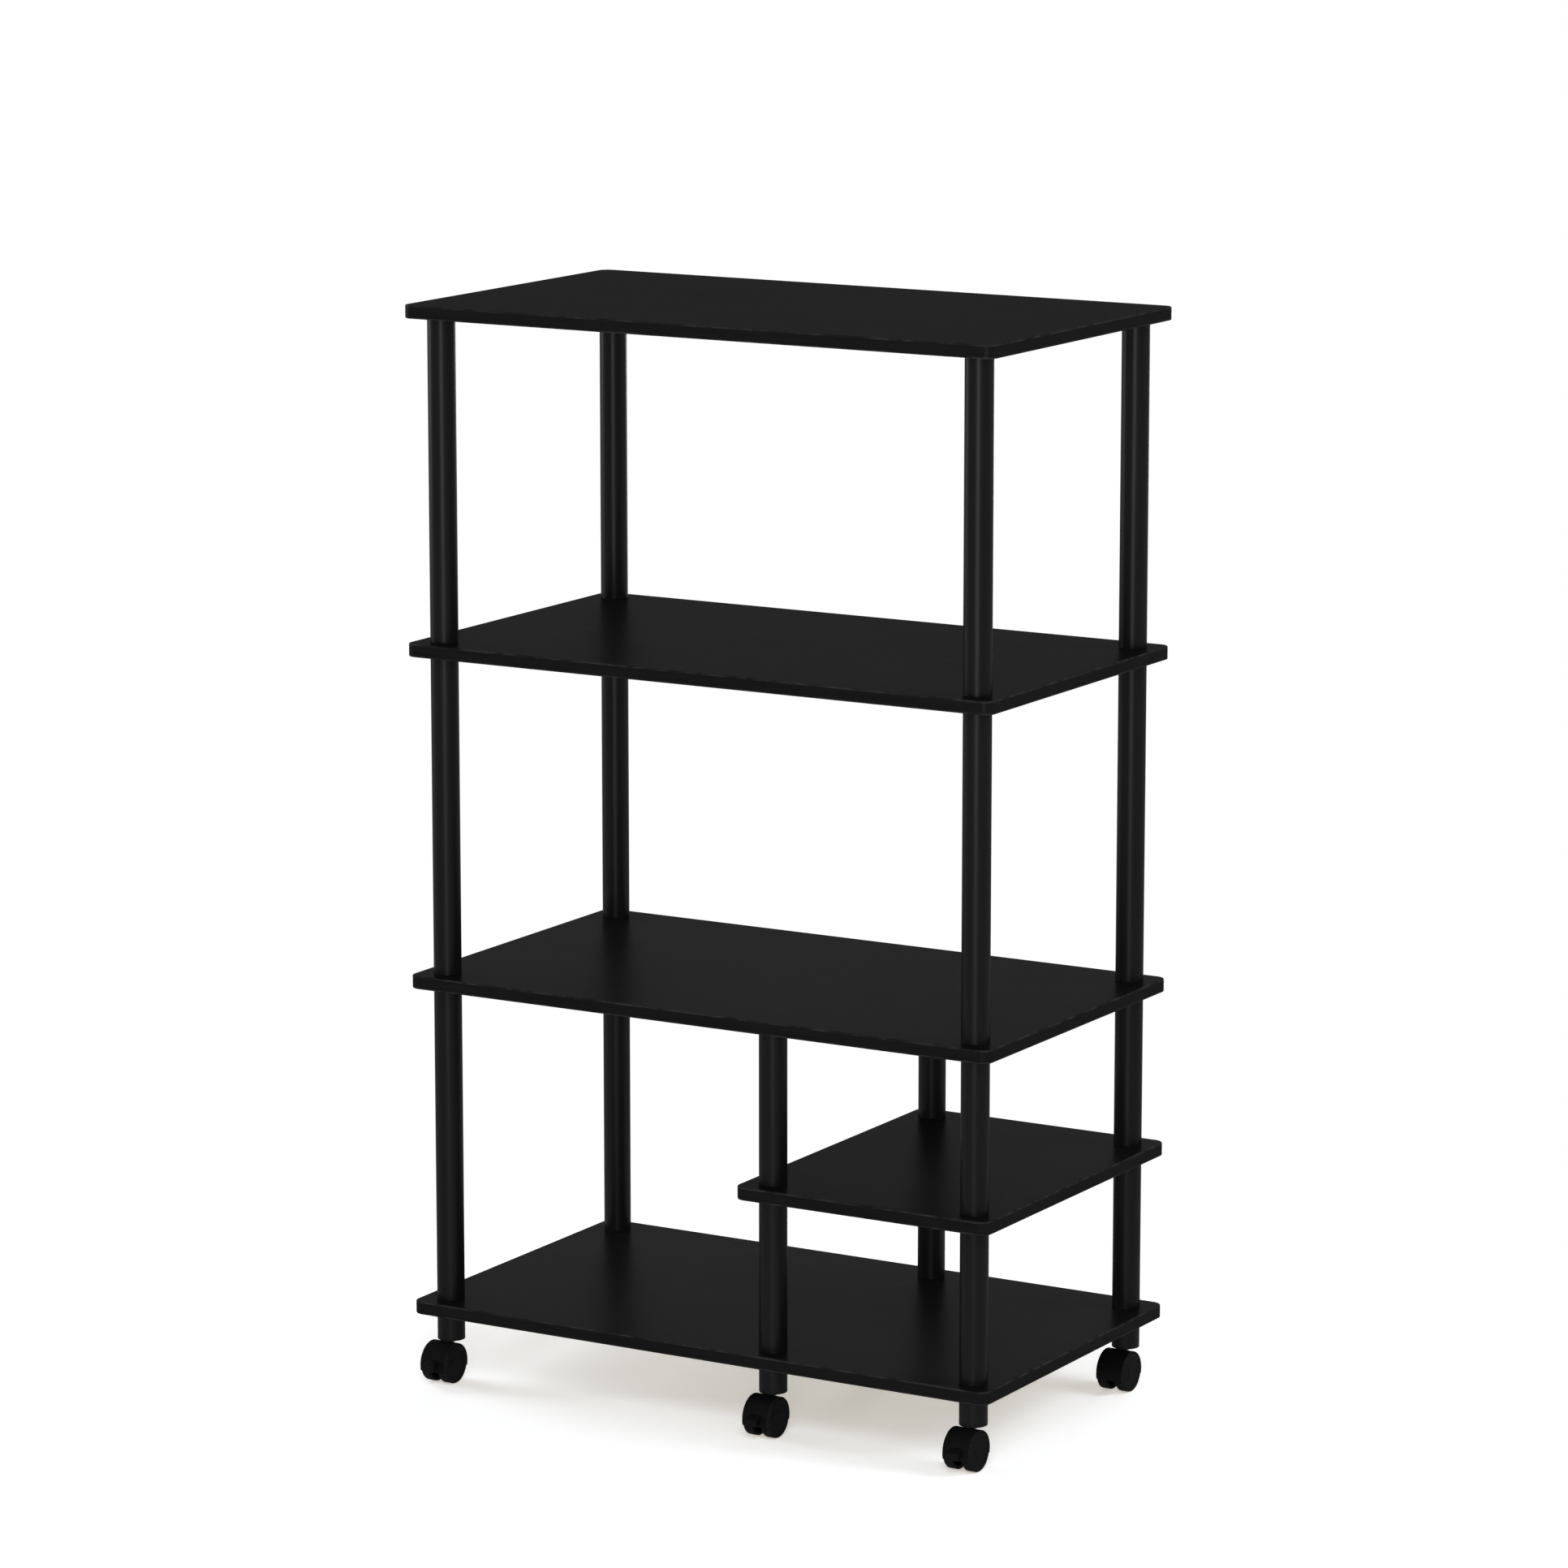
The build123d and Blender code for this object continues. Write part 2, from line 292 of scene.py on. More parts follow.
@dataclass(frozen=True)
class Finish:
    """Procedural surface: a body colour under a thin gloss.

    Attributes:
        name: the material's name.
        tone: linear colour of the body.
        wear_and_highlight_tone: linear colour where the surface is rubbed, stained or dusty; on the
            laminate's edges it is partly a painted highlight.
        roughness: range of the body's roughness.
        gloss: weight of the gloss.
        gloss_roughness: roughness of the gloss.
    """

    name: str
    tone: Colour
    wear_and_highlight_tone: Colour
    roughness: Range
    gloss: float
    gloss_roughness: float

    METALLIC: ClassVar[float] = 0.0
    BODY_SHINE: ClassVar[float] = 0.0
    TONE_SPREAD: ClassVar[Range] = (0.72, 1.28)
    MIDDLING: ClassVar[Range] = (0.3, 0.7)
    EDGE_DETAIL: ClassVar[float] = 5
    EDGE_WINDOW: ClassVar[Range] = (0.4, 0.62)
    EDGE_MARKS: ClassVar[float]
    EDGE_COVER: ClassVar[Range]
    RELIEF: ClassVar[Relief]

    def material(self) -> bpy.types.Material:
        """Makes the finish's material on first use.

        Returns:
            The material.
        """
        if self.name in bpy.data.materials:
            return bpy.data.materials[self.name]
        material = bpy.data.materials.new(self.name)
        sheet = NodeSheet.of(material)
        look = self.paint(sheet, sheet.add("ShaderNodeTexCoord").outputs["Object"])
        normal = sheet.bump(look.height, self.RELIEF)
        shader = sheet.output("ShaderNodeBsdfPrincipled", {
            "Base Color": sheet.tint(look.wear, self.body_colour(sheet, look.figure), self.wear_and_highlight_tone),
            "Metallic": self.METALLIC,
            "Roughness": sheet.span(look.sheen, self.MIDDLING, self.roughness),
            "Normal": normal,
            "Specular IOR Level": self.BODY_SHINE,
            "Coat Weight": self.gloss,
            "Coat Roughness": self.gloss_roughness,
            "Coat Normal": normal,
        })
        sheet.add("ShaderNodeOutputMaterial", {"Surface": shader})
        return material

    def paint(self, sheet: NodeSheet, coords: Value) -> Look:
        """Draws the finish's own patterns from object coordinates in metres."""
        raise NotImplementedError

    def body_colour(self, sheet: NodeSheet, figure: Value) -> Socket:
        """Returns the socket with the body's colour, darker and lighter as a pattern goes."""
        dark, light = (scaled(self.tone, share) for share in self.TONE_SPREAD)
        return sheet.tint(sheet.span(figure, self.MIDDLING, (0, 1)), dark, light)

    def edge_wear_and_highlight(self, sheet: NodeSheet, coords: Value) -> Socket:
        """Returns the socket with the wear of rounded edges, 0 to 1, in broken stretches, which on the
        laminate is partly a painted highlight.
        """
        broken = Pattern((self.EDGE_MARKS,) * 3, self.EDGE_DETAIL, self.EDGE_WINDOW, self.EDGE_COVER)
        return sheet.math("MULTIPLY", sheet.attribute("arris"), sheet.noise(coords, broken))


@dataclass(frozen=True)
class LaminateFinish(Finish):
    """Pressed laminate on a board, with a faint wood grain along X and rubbed edges whose lighter line is
    partly a painted highlight.
    """

    GRAIN = Pattern((13, 380, 380), 6)
    CLOUD = Pattern((6, 9, 9), 3)
    PORES = Pattern((130, 2100, 2100), 2, window=(0.32, 0.46))
    PORE_TONE = (0.85, 1.0)
    GRAIN_IN_FIGURE = 0.6
    GRAIN_IN_RELIEF = 0.5
    RELIEF = Relief(0.05 * MM, 0.35)
    # Breaks in the edges' lighter line, which is partly wear and partly a painted highlight.
    EDGE_MARKS = 70
    EDGE_COVER = (0.15, 1.0)

    def paint(self, sheet: NodeSheet, coords: Value) -> Look:
        """Draws grain, pores, a slow cloud and rubbed edges, whose lighter broken line is partly wear and
        partly a painted highlight.

        Args:
            sheet: the material's nodes.
            coords: object coordinates in metres.

        Returns:
            The patterns.
        """
        grain = sheet.noise(coords, self.GRAIN)
        pores = sheet.noise(coords, self.PORES)
        clouded = sheet.blend(grain, self.GRAIN_IN_FIGURE, sheet.noise(coords, self.CLOUD))
        return Look(
            figure=sheet.math("MULTIPLY", clouded, sheet.span(pores, (0, 1), self.PORE_TONE)),
            # Painted highlight: the lighter broken line along the edges stands partly for light that they
            # catch, and partly for wear.
            wear=self.edge_wear_and_highlight(sheet, coords),
            sheen=grain,
            height=sheet.blend(grain, self.GRAIN_IN_RELIEF, pores),
        )


@dataclass(frozen=True)
class TubeFinish(Finish):
    """Satin coat on a drawn tube, with faint draw lines along Z and rubbed ends."""

    LINES = Pattern((520, 520, 5), 4)
    CLOUD = Pattern((11, 11, 6), 3)
    PEEL = Pattern((650, 650, 420), 2)
    LINES_IN_FIGURE = 0.5
    LINES_IN_RELIEF = 0.3
    RELIEF = Relief(0.03 * MM, 0.3)
    EDGE_MARKS = 160
    EDGE_COVER = (0.0, 0.7)

    def paint(self, sheet: NodeSheet, coords: Value) -> Look:
        """Draws lines along the tube, the coat's orange peel, a slow cloud and rubbed ends.

        Args:
            sheet: the material's nodes.
            coords: object coordinates in metres.

        Returns:
            The patterns.
        """
        lines = sheet.noise(coords, self.LINES)
        figure = sheet.blend(lines, self.LINES_IN_FIGURE, sheet.noise(coords, self.CLOUD))
        return Look(
            figure=figure,
            wear=self.edge_wear_and_highlight(sheet, coords),
            sheen=figure,
            height=sheet.blend(lines, self.LINES_IN_RELIEF, sheet.noise(coords, self.PEEL)),
        )


@dataclass(frozen=True)
class MouldedFinish(Finish):
    """Moulded plastic with a spark-eroded grain, flow clouds and scuffs."""

    GRAIN = Pattern((1500, 1500, 1500), 3)
    CLOUD = Pattern((40, 40, 40), 4)
    SCUFFS = Pattern((90, 700, 160), 5, window=(0.62, 0.75), result=(0.0, 0.35))
    GRAIN_IN_FIGURE = 0.4
    RELIEF = Relief(0.05 * MM, 0.4)
    EDGE_MARKS = 260
    EDGE_COVER = (0.1, 0.8)

    def paint(self, sheet: NodeSheet, coords: Value) -> Look:
        """Draws the mould's grain, flow clouds, scuffs and rubbed edges.

        Args:
            sheet: the material's nodes.
            coords: object coordinates in metres.

        Returns:
            The patterns.
        """
        grain = sheet.noise(coords, self.GRAIN)
        figure = sheet.blend(grain, self.GRAIN_IN_FIGURE, sheet.noise(coords, self.CLOUD))
        wear = sheet.math("MAXIMUM", self.edge_wear_and_highlight(sheet, coords), sheet.noise(coords, self.SCUFFS))
        return Look(figure=figure, wear=wear, sheen=figure, height=grain)


@dataclass(frozen=True)
class WheelFinish(Finish):
    """Hard moulded wheel: faint turned rings on its faces and a dusty, scuffed tread.

    Attributes:
        tread_start: distance from the axle at which the tread's dust starts.
    """

    tread_start: float

    GRAIN = Pattern((1300, 1300, 1300), 3)
    CLOUD = Pattern((45, 45, 45), 4)
    DUST = Pattern((160, 300, 300), 6, window=(0.42, 0.68), result=(0.05, 0.75))
    DUST_FADE = 0.2 * MM
    RING_PITCH = 0.45 * MM
    GRAIN_IN_FIGURE = 0.4
    RINGS_IN_RELIEF = 0.35
    RELIEF = Relief(0.03 * MM, 0.35)
    EDGE_MARKS = 320
    EDGE_COVER = (0.05, 0.5)

    def paint(self, sheet: NodeSheet, coords: Value) -> Look:
        """Draws rings about the axle, mould grain, rubbed edges and dust.

        Args:
            sheet: the material's nodes.
            coords: object coordinates in metres.

        Returns:
            The patterns.
        """
        reach = sheet.attribute("reach")
        wave = sheet.math("SINE", sheet.math("MULTIPLY", reach, FULL_TURN / self.RING_PITCH))
        rings = sheet.span(wave, (-1, 1), (0, 1))
        grain = sheet.noise(coords, self.GRAIN)
        figure = sheet.blend(grain, self.GRAIN_IN_FIGURE, sheet.noise(coords, self.CLOUD))
        tread = sheet.span(reach, (self.tread_start, self.tread_start + self.DUST_FADE), (0, 1))
        dust = sheet.math("MULTIPLY", tread, sheet.noise(coords, self.DUST))
        return Look(
            figure=figure,
            wear=sheet.math("MAXIMUM", dust, self.edge_wear_and_highlight(sheet, coords)),
            sheen=figure,
            height=sheet.blend(rings, self.RINGS_IN_RELIEF, grain),
        )


@dataclass(frozen=True)
class SteelFinish(Finish):
    """Drawn steel pin with fine lines and a little oil staining."""

    METALLIC = 1.0
    BODY_SHINE = 0.5
    TONE_SPREAD = (0.85, 1.1)
    LINES = Pattern((700, 2200, 700), 4)
    STAINS = Pattern((120, 120, 120), 5, window=(0.5, 0.72), result=(0.0, 0.6))
    RELIEF = Relief(0.02 * MM, 0.3)

    def paint(self, sheet: NodeSheet, coords: Value) -> Look:
        """Draws fine lines and stains."""
        lines = sheet.noise(coords, self.LINES)
        return Look(figure=lines, wear=sheet.noise(coords, self.STAINS), sheen=lines, height=lines)


@dataclass(frozen=True)
class Corner:
    """Corner of a section, with the radius that rounds it."""

    x: float
    y: float
    radius: float = 0.0

    @property
    def point(self) -> Vector:
        """The corner's place."""
        return Vector((self.x, self.y))


@dataclass(frozen=True)
class Section:
    """Outline that is turned about an axis or swept along a path.

    The corners go clockwise, with X outwards and Y up, so that the faces point out of the material.

    Attributes:
        corners: the outline's corners in order.
        closed: whether the last corner joins the first.
        guard: flat strip kept beside each rounding, so that its shading and wear don't spread.
        steps: straight steps in each rounding.
    """

    corners: tuple[Corner, ...]
    closed: bool = True
    guard: float = 0.2 * MM
    steps: int = 5

    def trace(self) -> list[tuple[Vector, float]]:
        """Walks the outline.

        Returns:
            The points in order, each with its arris weight: 1 on a rounding and 0 on a flat.
        """
        traced: list[tuple[Vector, float]] = []
        for index, corner in enumerate(self.corners):
            if corner.radius == 0:
                traced.append((corner.point, 0.0))
                continue
            following = self.corners[(index + 1) % len(self.corners)]
            back = (self.corners[index - 1].point - corner.point).normalized()
            ahead = (following.point - corner.point).normalized()
            half_angle = back.angle(ahead) / 2
            reach = corner.radius / math.tan(half_angle)
            centre = corner.point + (back + ahead).normalized() * corner.radius / math.sin(half_angle)
            first = (corner.point + back * reach - centre).normalized()
            last = (corner.point + ahead * reach - centre).normalized()
            traced.append((corner.point + back * (reach + self.guard), 0.0))
            for step in range(self.steps + 1):
                traced.append((centre + first.slerp(last, step / self.steps) * corner.radius, 1.0))
            traced.append((corner.point + ahead * (reach + self.guard), 0.0))
        return traced

    def mesh(self, name: str) -> bpy.types.Mesh:
        """Draws the outline as a chain of edges in the XY plane.

        Args:
            name: the mesh's name.

        Returns:
            A mesh with two point attributes: arris, and reach, which is the point's X.
        """
        traced = self.trace()
        count = len(traced)
        edges = [(index, (index + 1) % count) for index in range(count if self.closed else count - 1)]
        mesh = bpy.data.meshes.new(name)
        mesh.from_pydata([(point.x, point.y, 0.0) for point, _ in traced], edges, [])
        values = {"arris": [weight for _, weight in traced], "reach": [point.x for point, _ in traced]}
        for label, numbers in values.items():
            mesh.attributes.new(label, "FLOAT", "POINT").data.foreach_set("value", numbers)
        return mesh


class ShapeTree(NodeSheet):
    """Geometry Nodes tree with named inputs, built once and used by every piece of its kind."""

    def __init__(self, name: str, **inputs: Input) -> None:
        """Starts the tree.

        Args:
            name: the tree's name.
            inputs: kind of each named input, besides the base mesh and the finish.
        """
        super().__init__(bpy.data.node_groups.new(name, "GeometryNodeTree"))
        interface = self.tree.interface
        for way in ("INPUT", "OUTPUT"):
            interface.new_socket("Geometry", in_out=way, socket_type="NodeSocketGeometry")
        self.identifiers: dict[str, str] = {}
        for label, kind in {**inputs, "finish": Input.FINISH}.items():
            made = interface.new_socket(label, in_out="INPUT", socket_type=kind.value)
            self.identifiers[label] = made.identifier
        self.given = self.add("NodeGroupInput").outputs

    def profile(self, offset: Value) -> Socket:
        """Lays the section so that its X points away from the path's middle and its Y up.

        Args:
            offset: distance taken from the section's X.

        Returns:
            The socket with the section as a curve.
        """
        chain = self.output("GeometryNodeMeshToCurve", {"Mesh": self.given["Geometry"]})
        position = self.output("GeometryNodeInputPosition")
        parts = self.add("ShaderNodeSeparateXYZ", {0: position}).outputs
        across = self.math("SUBTRACT", parts[0], offset)
        down = self.math("MULTIPLY", parts[1], -1.0)
        moved = self.output("ShaderNodeCombineXYZ", {0: across, 1: down})
        return self.output("GeometryNodeSetPosition", {"Geometry": chain, "Position": moved})

    def close(self, shape: Value) -> None:
        """Welds, shades and dresses the shape, and ends the tree.

        Args:
            shape: the finished geometry.
        """
        weld = {"Geometry": shape, "Distance": WELD_DISTANCE}
        welded = self.output("GeometryNodeMergeByDistance", weld)
        smooth = self.output("GeometryNodeSetShadeSmooth", {"Geometry": welded}, domain="FACE")
        bend = self.output("GeometryNodeInputMeshEdgeAngle")
        sharp = self.output("FunctionNodeCompare", {0: bend, 1: SHARP_ANGLE}, operation="GREATER_THAN")
        edges = {"Geometry": smooth, "Selection": sharp, "Shade Smooth": False}
        crisp = self.output("GeometryNodeSetShadeSmooth", edges, domain="EDGE")
        real = self.output("GeometryNodeRealizeInstances", {"Geometry": crisp})
        dress = {"Geometry": real, "Material": self.given["finish"]}
        self.add("NodeGroupOutput", {0: self.output("GeometryNodeSetMaterial", dress)})

    def make(self, name: str, base: bpy.types.Mesh, finish: Finish, **sizes: Any) -> Piece:
        """Runs the tree on a base mesh and keeps the result as a plain mesh.

        Args:
            name: the piece's name.
            base: the section or points that the tree works on.
            finish: the piece's finish.
            sizes: values of the tree's named inputs.

        Returns:
            The piece, at the origin.
        """
        piece = added(name, base)
        modifier = piece.modifiers.new(self.tree.name, "NODES")
        modifier.node_group = self.tree
        for label, value in {**sizes, "finish": finish.material()}.items():
            modifier[self.identifiers[label]] = value
        settle(piece)
        return piece


class SweptTree(ShapeTree):
    """Sweeps a section along a path about Z, tips it and lays it in its place."""

    def sweep(self, path: Value, capped: bool) -> None:
        """Sweeps the section and ends the tree.

        Args:
            path: the path, at the radius that the tree is given.
            capped: whether the ends are filled.
        """
        profile = self.profile(self.given["radius"])
        sweep = {"Curve": path, "Profile Curve": profile, "Fill Caps": capped}
        swept = self.output("GeometryNodeCurveToMesh", sweep)
        turn = self.output("FunctionNodeEulerToRotation", {0: self.given["turn"]})
        laid = {"Geometry": swept, "Rotation": turn, "Translation": self.given["place"]}
        self.close(self.output("GeometryNodeTransform", laid))


class TurnedTree(SweptTree):
    """Turns a section all the way round Z."""

    def __init__(self) -> None:
        """Builds the tree."""
        super().__init__(
            "turned_piece", radius=Input.NUMBER, steps=Input.COUNT, turn=Input.VECTOR, place=Input.VECTOR
        )
        ring = {"Resolution": self.given["steps"], "Radius": self.given["radius"]}
        self.sweep(self.output("GeometryNodeCurvePrimitiveCircle", ring), capped=False)


class ArchTree(SweptTree):
    """Turns a section part of the way round Z and fills its two ends."""

    def __init__(self) -> None:
        """Builds the tree."""
        super().__init__(
            "arched_piece",
            radius=Input.NUMBER,
            steps=Input.COUNT,
            start=Input.NUMBER,
            sweep=Input.NUMBER,
            turn=Input.VECTOR,
            place=Input.VECTOR,
        )
        arch = {
            "Resolution": self.given["steps"],
            "Radius": self.given["radius"],
            "Start Angle": self.given["start"],
            "Sweep Angle": self.given["sweep"],
        }
        self.sweep(self.output("GeometryNodeCurveArc", arch), capped=True)


class BoardTree(ShapeTree):
    """Sweeps an edge section round a rounded rectangle and fills its two faces."""

    # Sockets of a Compare node that compares whole numbers.
    COMPARED_COUNTS = (2, 3)

    def __init__(self) -> None:
        """Builds the tree."""
        super().__init__(
            "laminated_board",
            width=Input.NUMBER,
            depth=Input.NUMBER,
            thickness=Input.NUMBER,
            corner_radius=Input.NUMBER,
            corner_steps=Input.COUNT,
            place=Input.VECTOR,
        )
        sides = {"Width": self.given["width"], "Height": self.given["depth"]}
        square = self.output("GeometryNodeCurvePrimitiveQuadrilateral", sides)
        rounding = {
            "Curve": square, "Radius": self.given["corner_radius"], "Count": self.given["corner_steps"]
        }
        path = self.output("GeometryNodeFilletCurve", rounding, mode="POLY")
        edge = {"Curve": path, "Profile Curve": self.profile(0.0)}
        band = self.output("GeometryNodeCurveToMesh", edge)
        lift = self.output("ShaderNodeCombineXYZ", {2: self.given["thickness"]})
        underside = self.output("GeometryNodeFillCurve", {0: self.upper_rim(band)}, mode="NGONS")
        topside = self.output("GeometryNodeTransform", {"Geometry": underside, "Translation": lift})
        joined = self.add("GeometryNodeJoinGeometry")
        for part in (self.output("GeometryNodeFlipFaces", {0: underside}), topside, band):
            self.put(joined.inputs[0], part)
        laid = {"Geometry": joined.outputs[0], "Translation": self.given["place"]}
        self.close(self.output("GeometryNodeTransform", laid))

    def upper_rim(self, band: Value) -> Socket:
        """Finds the open edge of the band that borders the top face.

        Args:
            band: the swept edge of the board.

        Returns:
            The socket with the edge as a curve, flattened to the board's underside when it is filled.
        """
        sides = dict(zip(self.COMPARED_COUNTS, (self.output("GeometryNodeInputMeshEdgeNeighbors"), 1)))
        rim = self.output("FunctionNodeCompare", sides, data_type="INT", operation="EQUAL")
        position = self.output("GeometryNodeInputPosition")
        height = self.add("ShaderNodeSeparateXYZ", {0: position}).outputs[2]
        middle = self.math("MULTIPLY", self.given["thickness"], 0.5)
        upper = self.output("FunctionNodeCompare", {0: height, 1: middle}, operation="GREATER_THAN")
        chosen = self.output("FunctionNodeBooleanMath", {0: rim, 1: upper}, operation="AND")
        return self.output("GeometryNodeMeshToCurve", {"Mesh": band, "Selection": chosen})


class DrillTree(ShapeTree):
    """Stands an upright drill on every point of its base mesh."""

    def __init__(self) -> None:
        """Builds the tree."""
        super().__init__("drills", radius=Input.NUMBER, depth=Input.NUMBER, steps=Input.COUNT)
        sizes = {
            "Vertices": self.given["steps"], "Radius": self.given["radius"], "Depth": self.given["depth"]
        }
        drill = self.output("GeometryNodeMeshCylinder", sizes)
        points = {"Points": self.given["Geometry"], "Instance": drill}
        self.close(self.output("GeometryNodeInstanceOnPoints", points))


@dataclass(frozen=True)
class Workshop:
    """The shape trees that the sub-assemblies share.

    Attributes:
        turning: makes round pieces.
        arching: makes part-round pieces.
        boarding: makes boards.
        drilling: makes rows of drills.
    """

    turning: TurnedTree = field(default_factory=TurnedTree)
    arching: ArchTree = field(default_factory=ArchTree)
    boarding: BoardTree = field(default_factory=BoardTree)
    drilling: DrillTree = field(default_factory=DrillTree)

    DRILL_STEPS = 48

    def drills(
        self, places: Sequence[Vector], radius: float, low: float, high: float, finish: Finish
    ) -> Piece:
        """Makes the upright cylinders that cut a row of holes.

        Args:
            places: the holes' axes, as (X, Y).
            radius: the holes' radius.
            low: height of the holes' lower end.
            high: height of their upper end.
            finish: finish of the cut faces.

        Returns:
            The cylinders as one piece.
        """
        points = bpy.data.meshes.new("hole_places")
        points.from_pydata([(place.x, place.y, (low + high) / 2) for place in places], [], [])
        return self.drilling.make(
            "drills", points, finish, radius=radius, depth=high - low, steps=self.DRILL_STEPS
        )


def added(name: str, data: bpy.types.ID) -> bpy.types.Object:
    """Adds an object to the scene, at the origin.

    Args:
        name: the object's name.
        data: its mesh, lamp or camera.

    Returns:
        The object.
    """
    item = bpy.data.objects.new(name, data)
    bpy.context.scene.collection.objects.link(item)
    return item


def settle(piece: Piece) -> None:
    """Turns a piece's modifiers into plain mesh and removes them.

    Args:
        piece: the piece, at the origin.
    """
    graph = bpy.context.evaluated_depsgraph_get()
    made = bpy.data.meshes.new_from_object(
        piece.evaluated_get(graph), preserve_all_data_layers=True, depsgraph=graph
    )
    old = piece.data
    piece.modifiers.clear()
    piece.data = made
    bpy.data.meshes.remove(old)
    made.name = piece.name


def shade(piece: Piece) -> None:
    """Shades a piece smooth, with its sharp edges kept crisp.

    Args:
        piece: the piece.
    """
    solid = bmesh.new()
    solid.from_mesh(piece.data)
    bmesh.ops.remove_doubles(solid, verts=solid.verts, dist=WELD_DISTANCE)
    for face in solid.faces:
        face.smooth = True
    for edge in solid.edges:
        edge.smooth = edge.is_manifold and edge.calc_face_angle() < SHARP_ANGLE
    solid.to_mesh(piece.data)
    solid.free()


def carve(piece: Piece, tools: Iterable[Piece], way: Carving) -> None:
    """Joins solids to a piece or cuts them from it, one by one, and removes them.

    Args:
        piece: the piece that stays.
        tools: the solids that are joined or cut.
        way: whether they are joined or cut.
    """
    for tool in tools:
        modifier = piece.modifiers.new(way.name, "BOOLEAN")
        modifier.operation = way.value
        modifier.solver = "EXACT"
        modifier.object = tool
        settle(piece)
        mesh = tool.data
        bpy.data.objects.remove(tool)
        bpy.data.meshes.remove(mesh)


def soften(piece: Piece, width: float) -> None:
    """Rounds a piece's sharp edges a little.

    Args:
        piece: the piece.
        width: width of the rounding.
    """
    modifier = piece.modifiers.new("Bevel", "BEVEL")
    modifier.width = width
    modifier.segments = BEVEL_STEPS
    modifier.limit_method = "ANGLE"
    modifier.angle_limit = SHARP_ANGLE
    settle(piece)


def plate(name: str, outline: Sequence[Vector], half_width: float, finish: Finish) -> Piece:
    """Makes a plate across a caster from an outline in its side plane.

    Args:
        name: the piece's name.
        outline: points as (Y, Z) from the axle, anticlockwise.
        half_width: reach to each side along X.
        finish: the piece's finish.

    Returns:
        The plate.
    """
    count = len(outline)
    points = [(side.value * half_width, point.x, point.y) for side in Side for point in outline]
    faces = [tuple(reversed(range(count))), tuple(range(count, 2 * count))]
    for index in range(count):
        after = (index + 1) % count
        faces.append((index, after, after + count, index + count))
    mesh = bpy.data.meshes.new(name)
    mesh.from_pydata(points, [], faces)
    mesh.materials.append(finish.material())
    return added(name, mesh)


def arc(centre: Vector, radius: float, start: float, stop: float, steps: int) -> list[Vector]:
    """Returns points along an arc of a side plane, by angles from +Y towards +Z."""
    angles = [start + (stop - start) * step / steps for step in range(steps + 1)]
    return [centre + Vector((math.cos(angle), math.sin(angle))) * radius for angle in angles]


def circle(centre: Vector, radius: float, steps: int) -> list[Vector]:
    """Returns points round a circle of a side plane, each once."""
    return arc(centre, radius, 0, FULL_TURN, steps)[:-1]


def stretched_round(*discs: tuple[Vector, float]) -> list[Vector]:
    """Returns the outline, anticlockwise, of a band stretched round discs."""
    points = [point for place, radius in discs for point in circle(place, radius, BAND_STEPS)]
    return [points[index] for index in convex_hull_2d(points)]


def turned_about(point: Vector, pivot: Vector, angle: float) -> Vector:
    """Returns a point of a side plane, turned about a pivot from +Y towards +Z."""
    return pivot + Matrix.Rotation(angle, 2) @ (point - pivot)


def stand_for(piece: Piece, node: str) -> None:
    """Lets a piece stand for a CAD node and move with the node's body.

    Args:
        piece: the finished piece.
        node: the CAD node.
    """
    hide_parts(node)
    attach(piece, BODY_OF[node])
    faces = len(piece.data.polygons)
    log.info("%s stands for %s on %s, %d faces", piece.name, node, BODY_OF[node], faces)


def node_box(node: str) -> tuple[Vector, Vector]:
    """Returns the lowest and highest corners of a CAD node's box."""
    low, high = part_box(node)
    return Vector(low), Vector(high)


def node_middle(node: str) -> Vector:
    """Returns the middle of a CAD node's box."""
    low, high = node_box(node)
    return (low + high) / 2


def nodes_ending(*endings: str) -> list[str]:
    """Returns the CAD nodes whose names end in one of the given words."""
    return [name for name in frame["nodes"] if name.endswith(endings)]


BLACK_LAMINATE = LaminateFinish(
    name="black_laminate",
    tone=grey(0.0064),
    # Lighter tone of the edges: partly wear and partly a painted highlight along them.
    wear_and_highlight_tone=grey(0.03),
    roughness=(0.5, 0.64),
    gloss=0.055,
    gloss_roughness=0.35,
)
SATIN_TUBE = TubeFinish(
    name="satin_black_tube",
    tone=grey(0.0033),
    wear_and_highlight_tone=grey(0.018),
    roughness=(0.4, 0.55),
    gloss=0.188,
    gloss_roughness=0.36,
)
HOOD_PLASTIC = MouldedFinish(
    name="hood_plastic",
    tone=grey(0.0045),
    wear_and_highlight_tone=grey(0.017),
    roughness=(0.5, 0.65),
    gloss=0.06,
    gloss_roughness=0.42,
)
LEVER_PLASTIC = MouldedFinish(
    name="lever_plastic",
    tone=grey(0.0055),
    wear_and_highlight_tone=grey(0.022),
    roughness=(0.5, 0.65),
    gloss=0.07,
    gloss_roughness=0.42,
)
PLUG_PLASTIC = MouldedFinish(
    name="plug_plastic",
    tone=grey(0.012),
    wear_and_highlight_tone=grey(0.03),
    roughness=(0.5, 0.65),
    gloss=0.06,
    gloss_roughness=0.5,
)
PIN_STEEL = SteelFinish(
    name="pin_steel",
    tone=grey(0.3, 0.03),
    wear_and_highlight_tone=grey(0.15, 0.15),
    roughness=(0.3, 0.45),
    gloss=0.0,
    gloss_roughness=0.3,
)


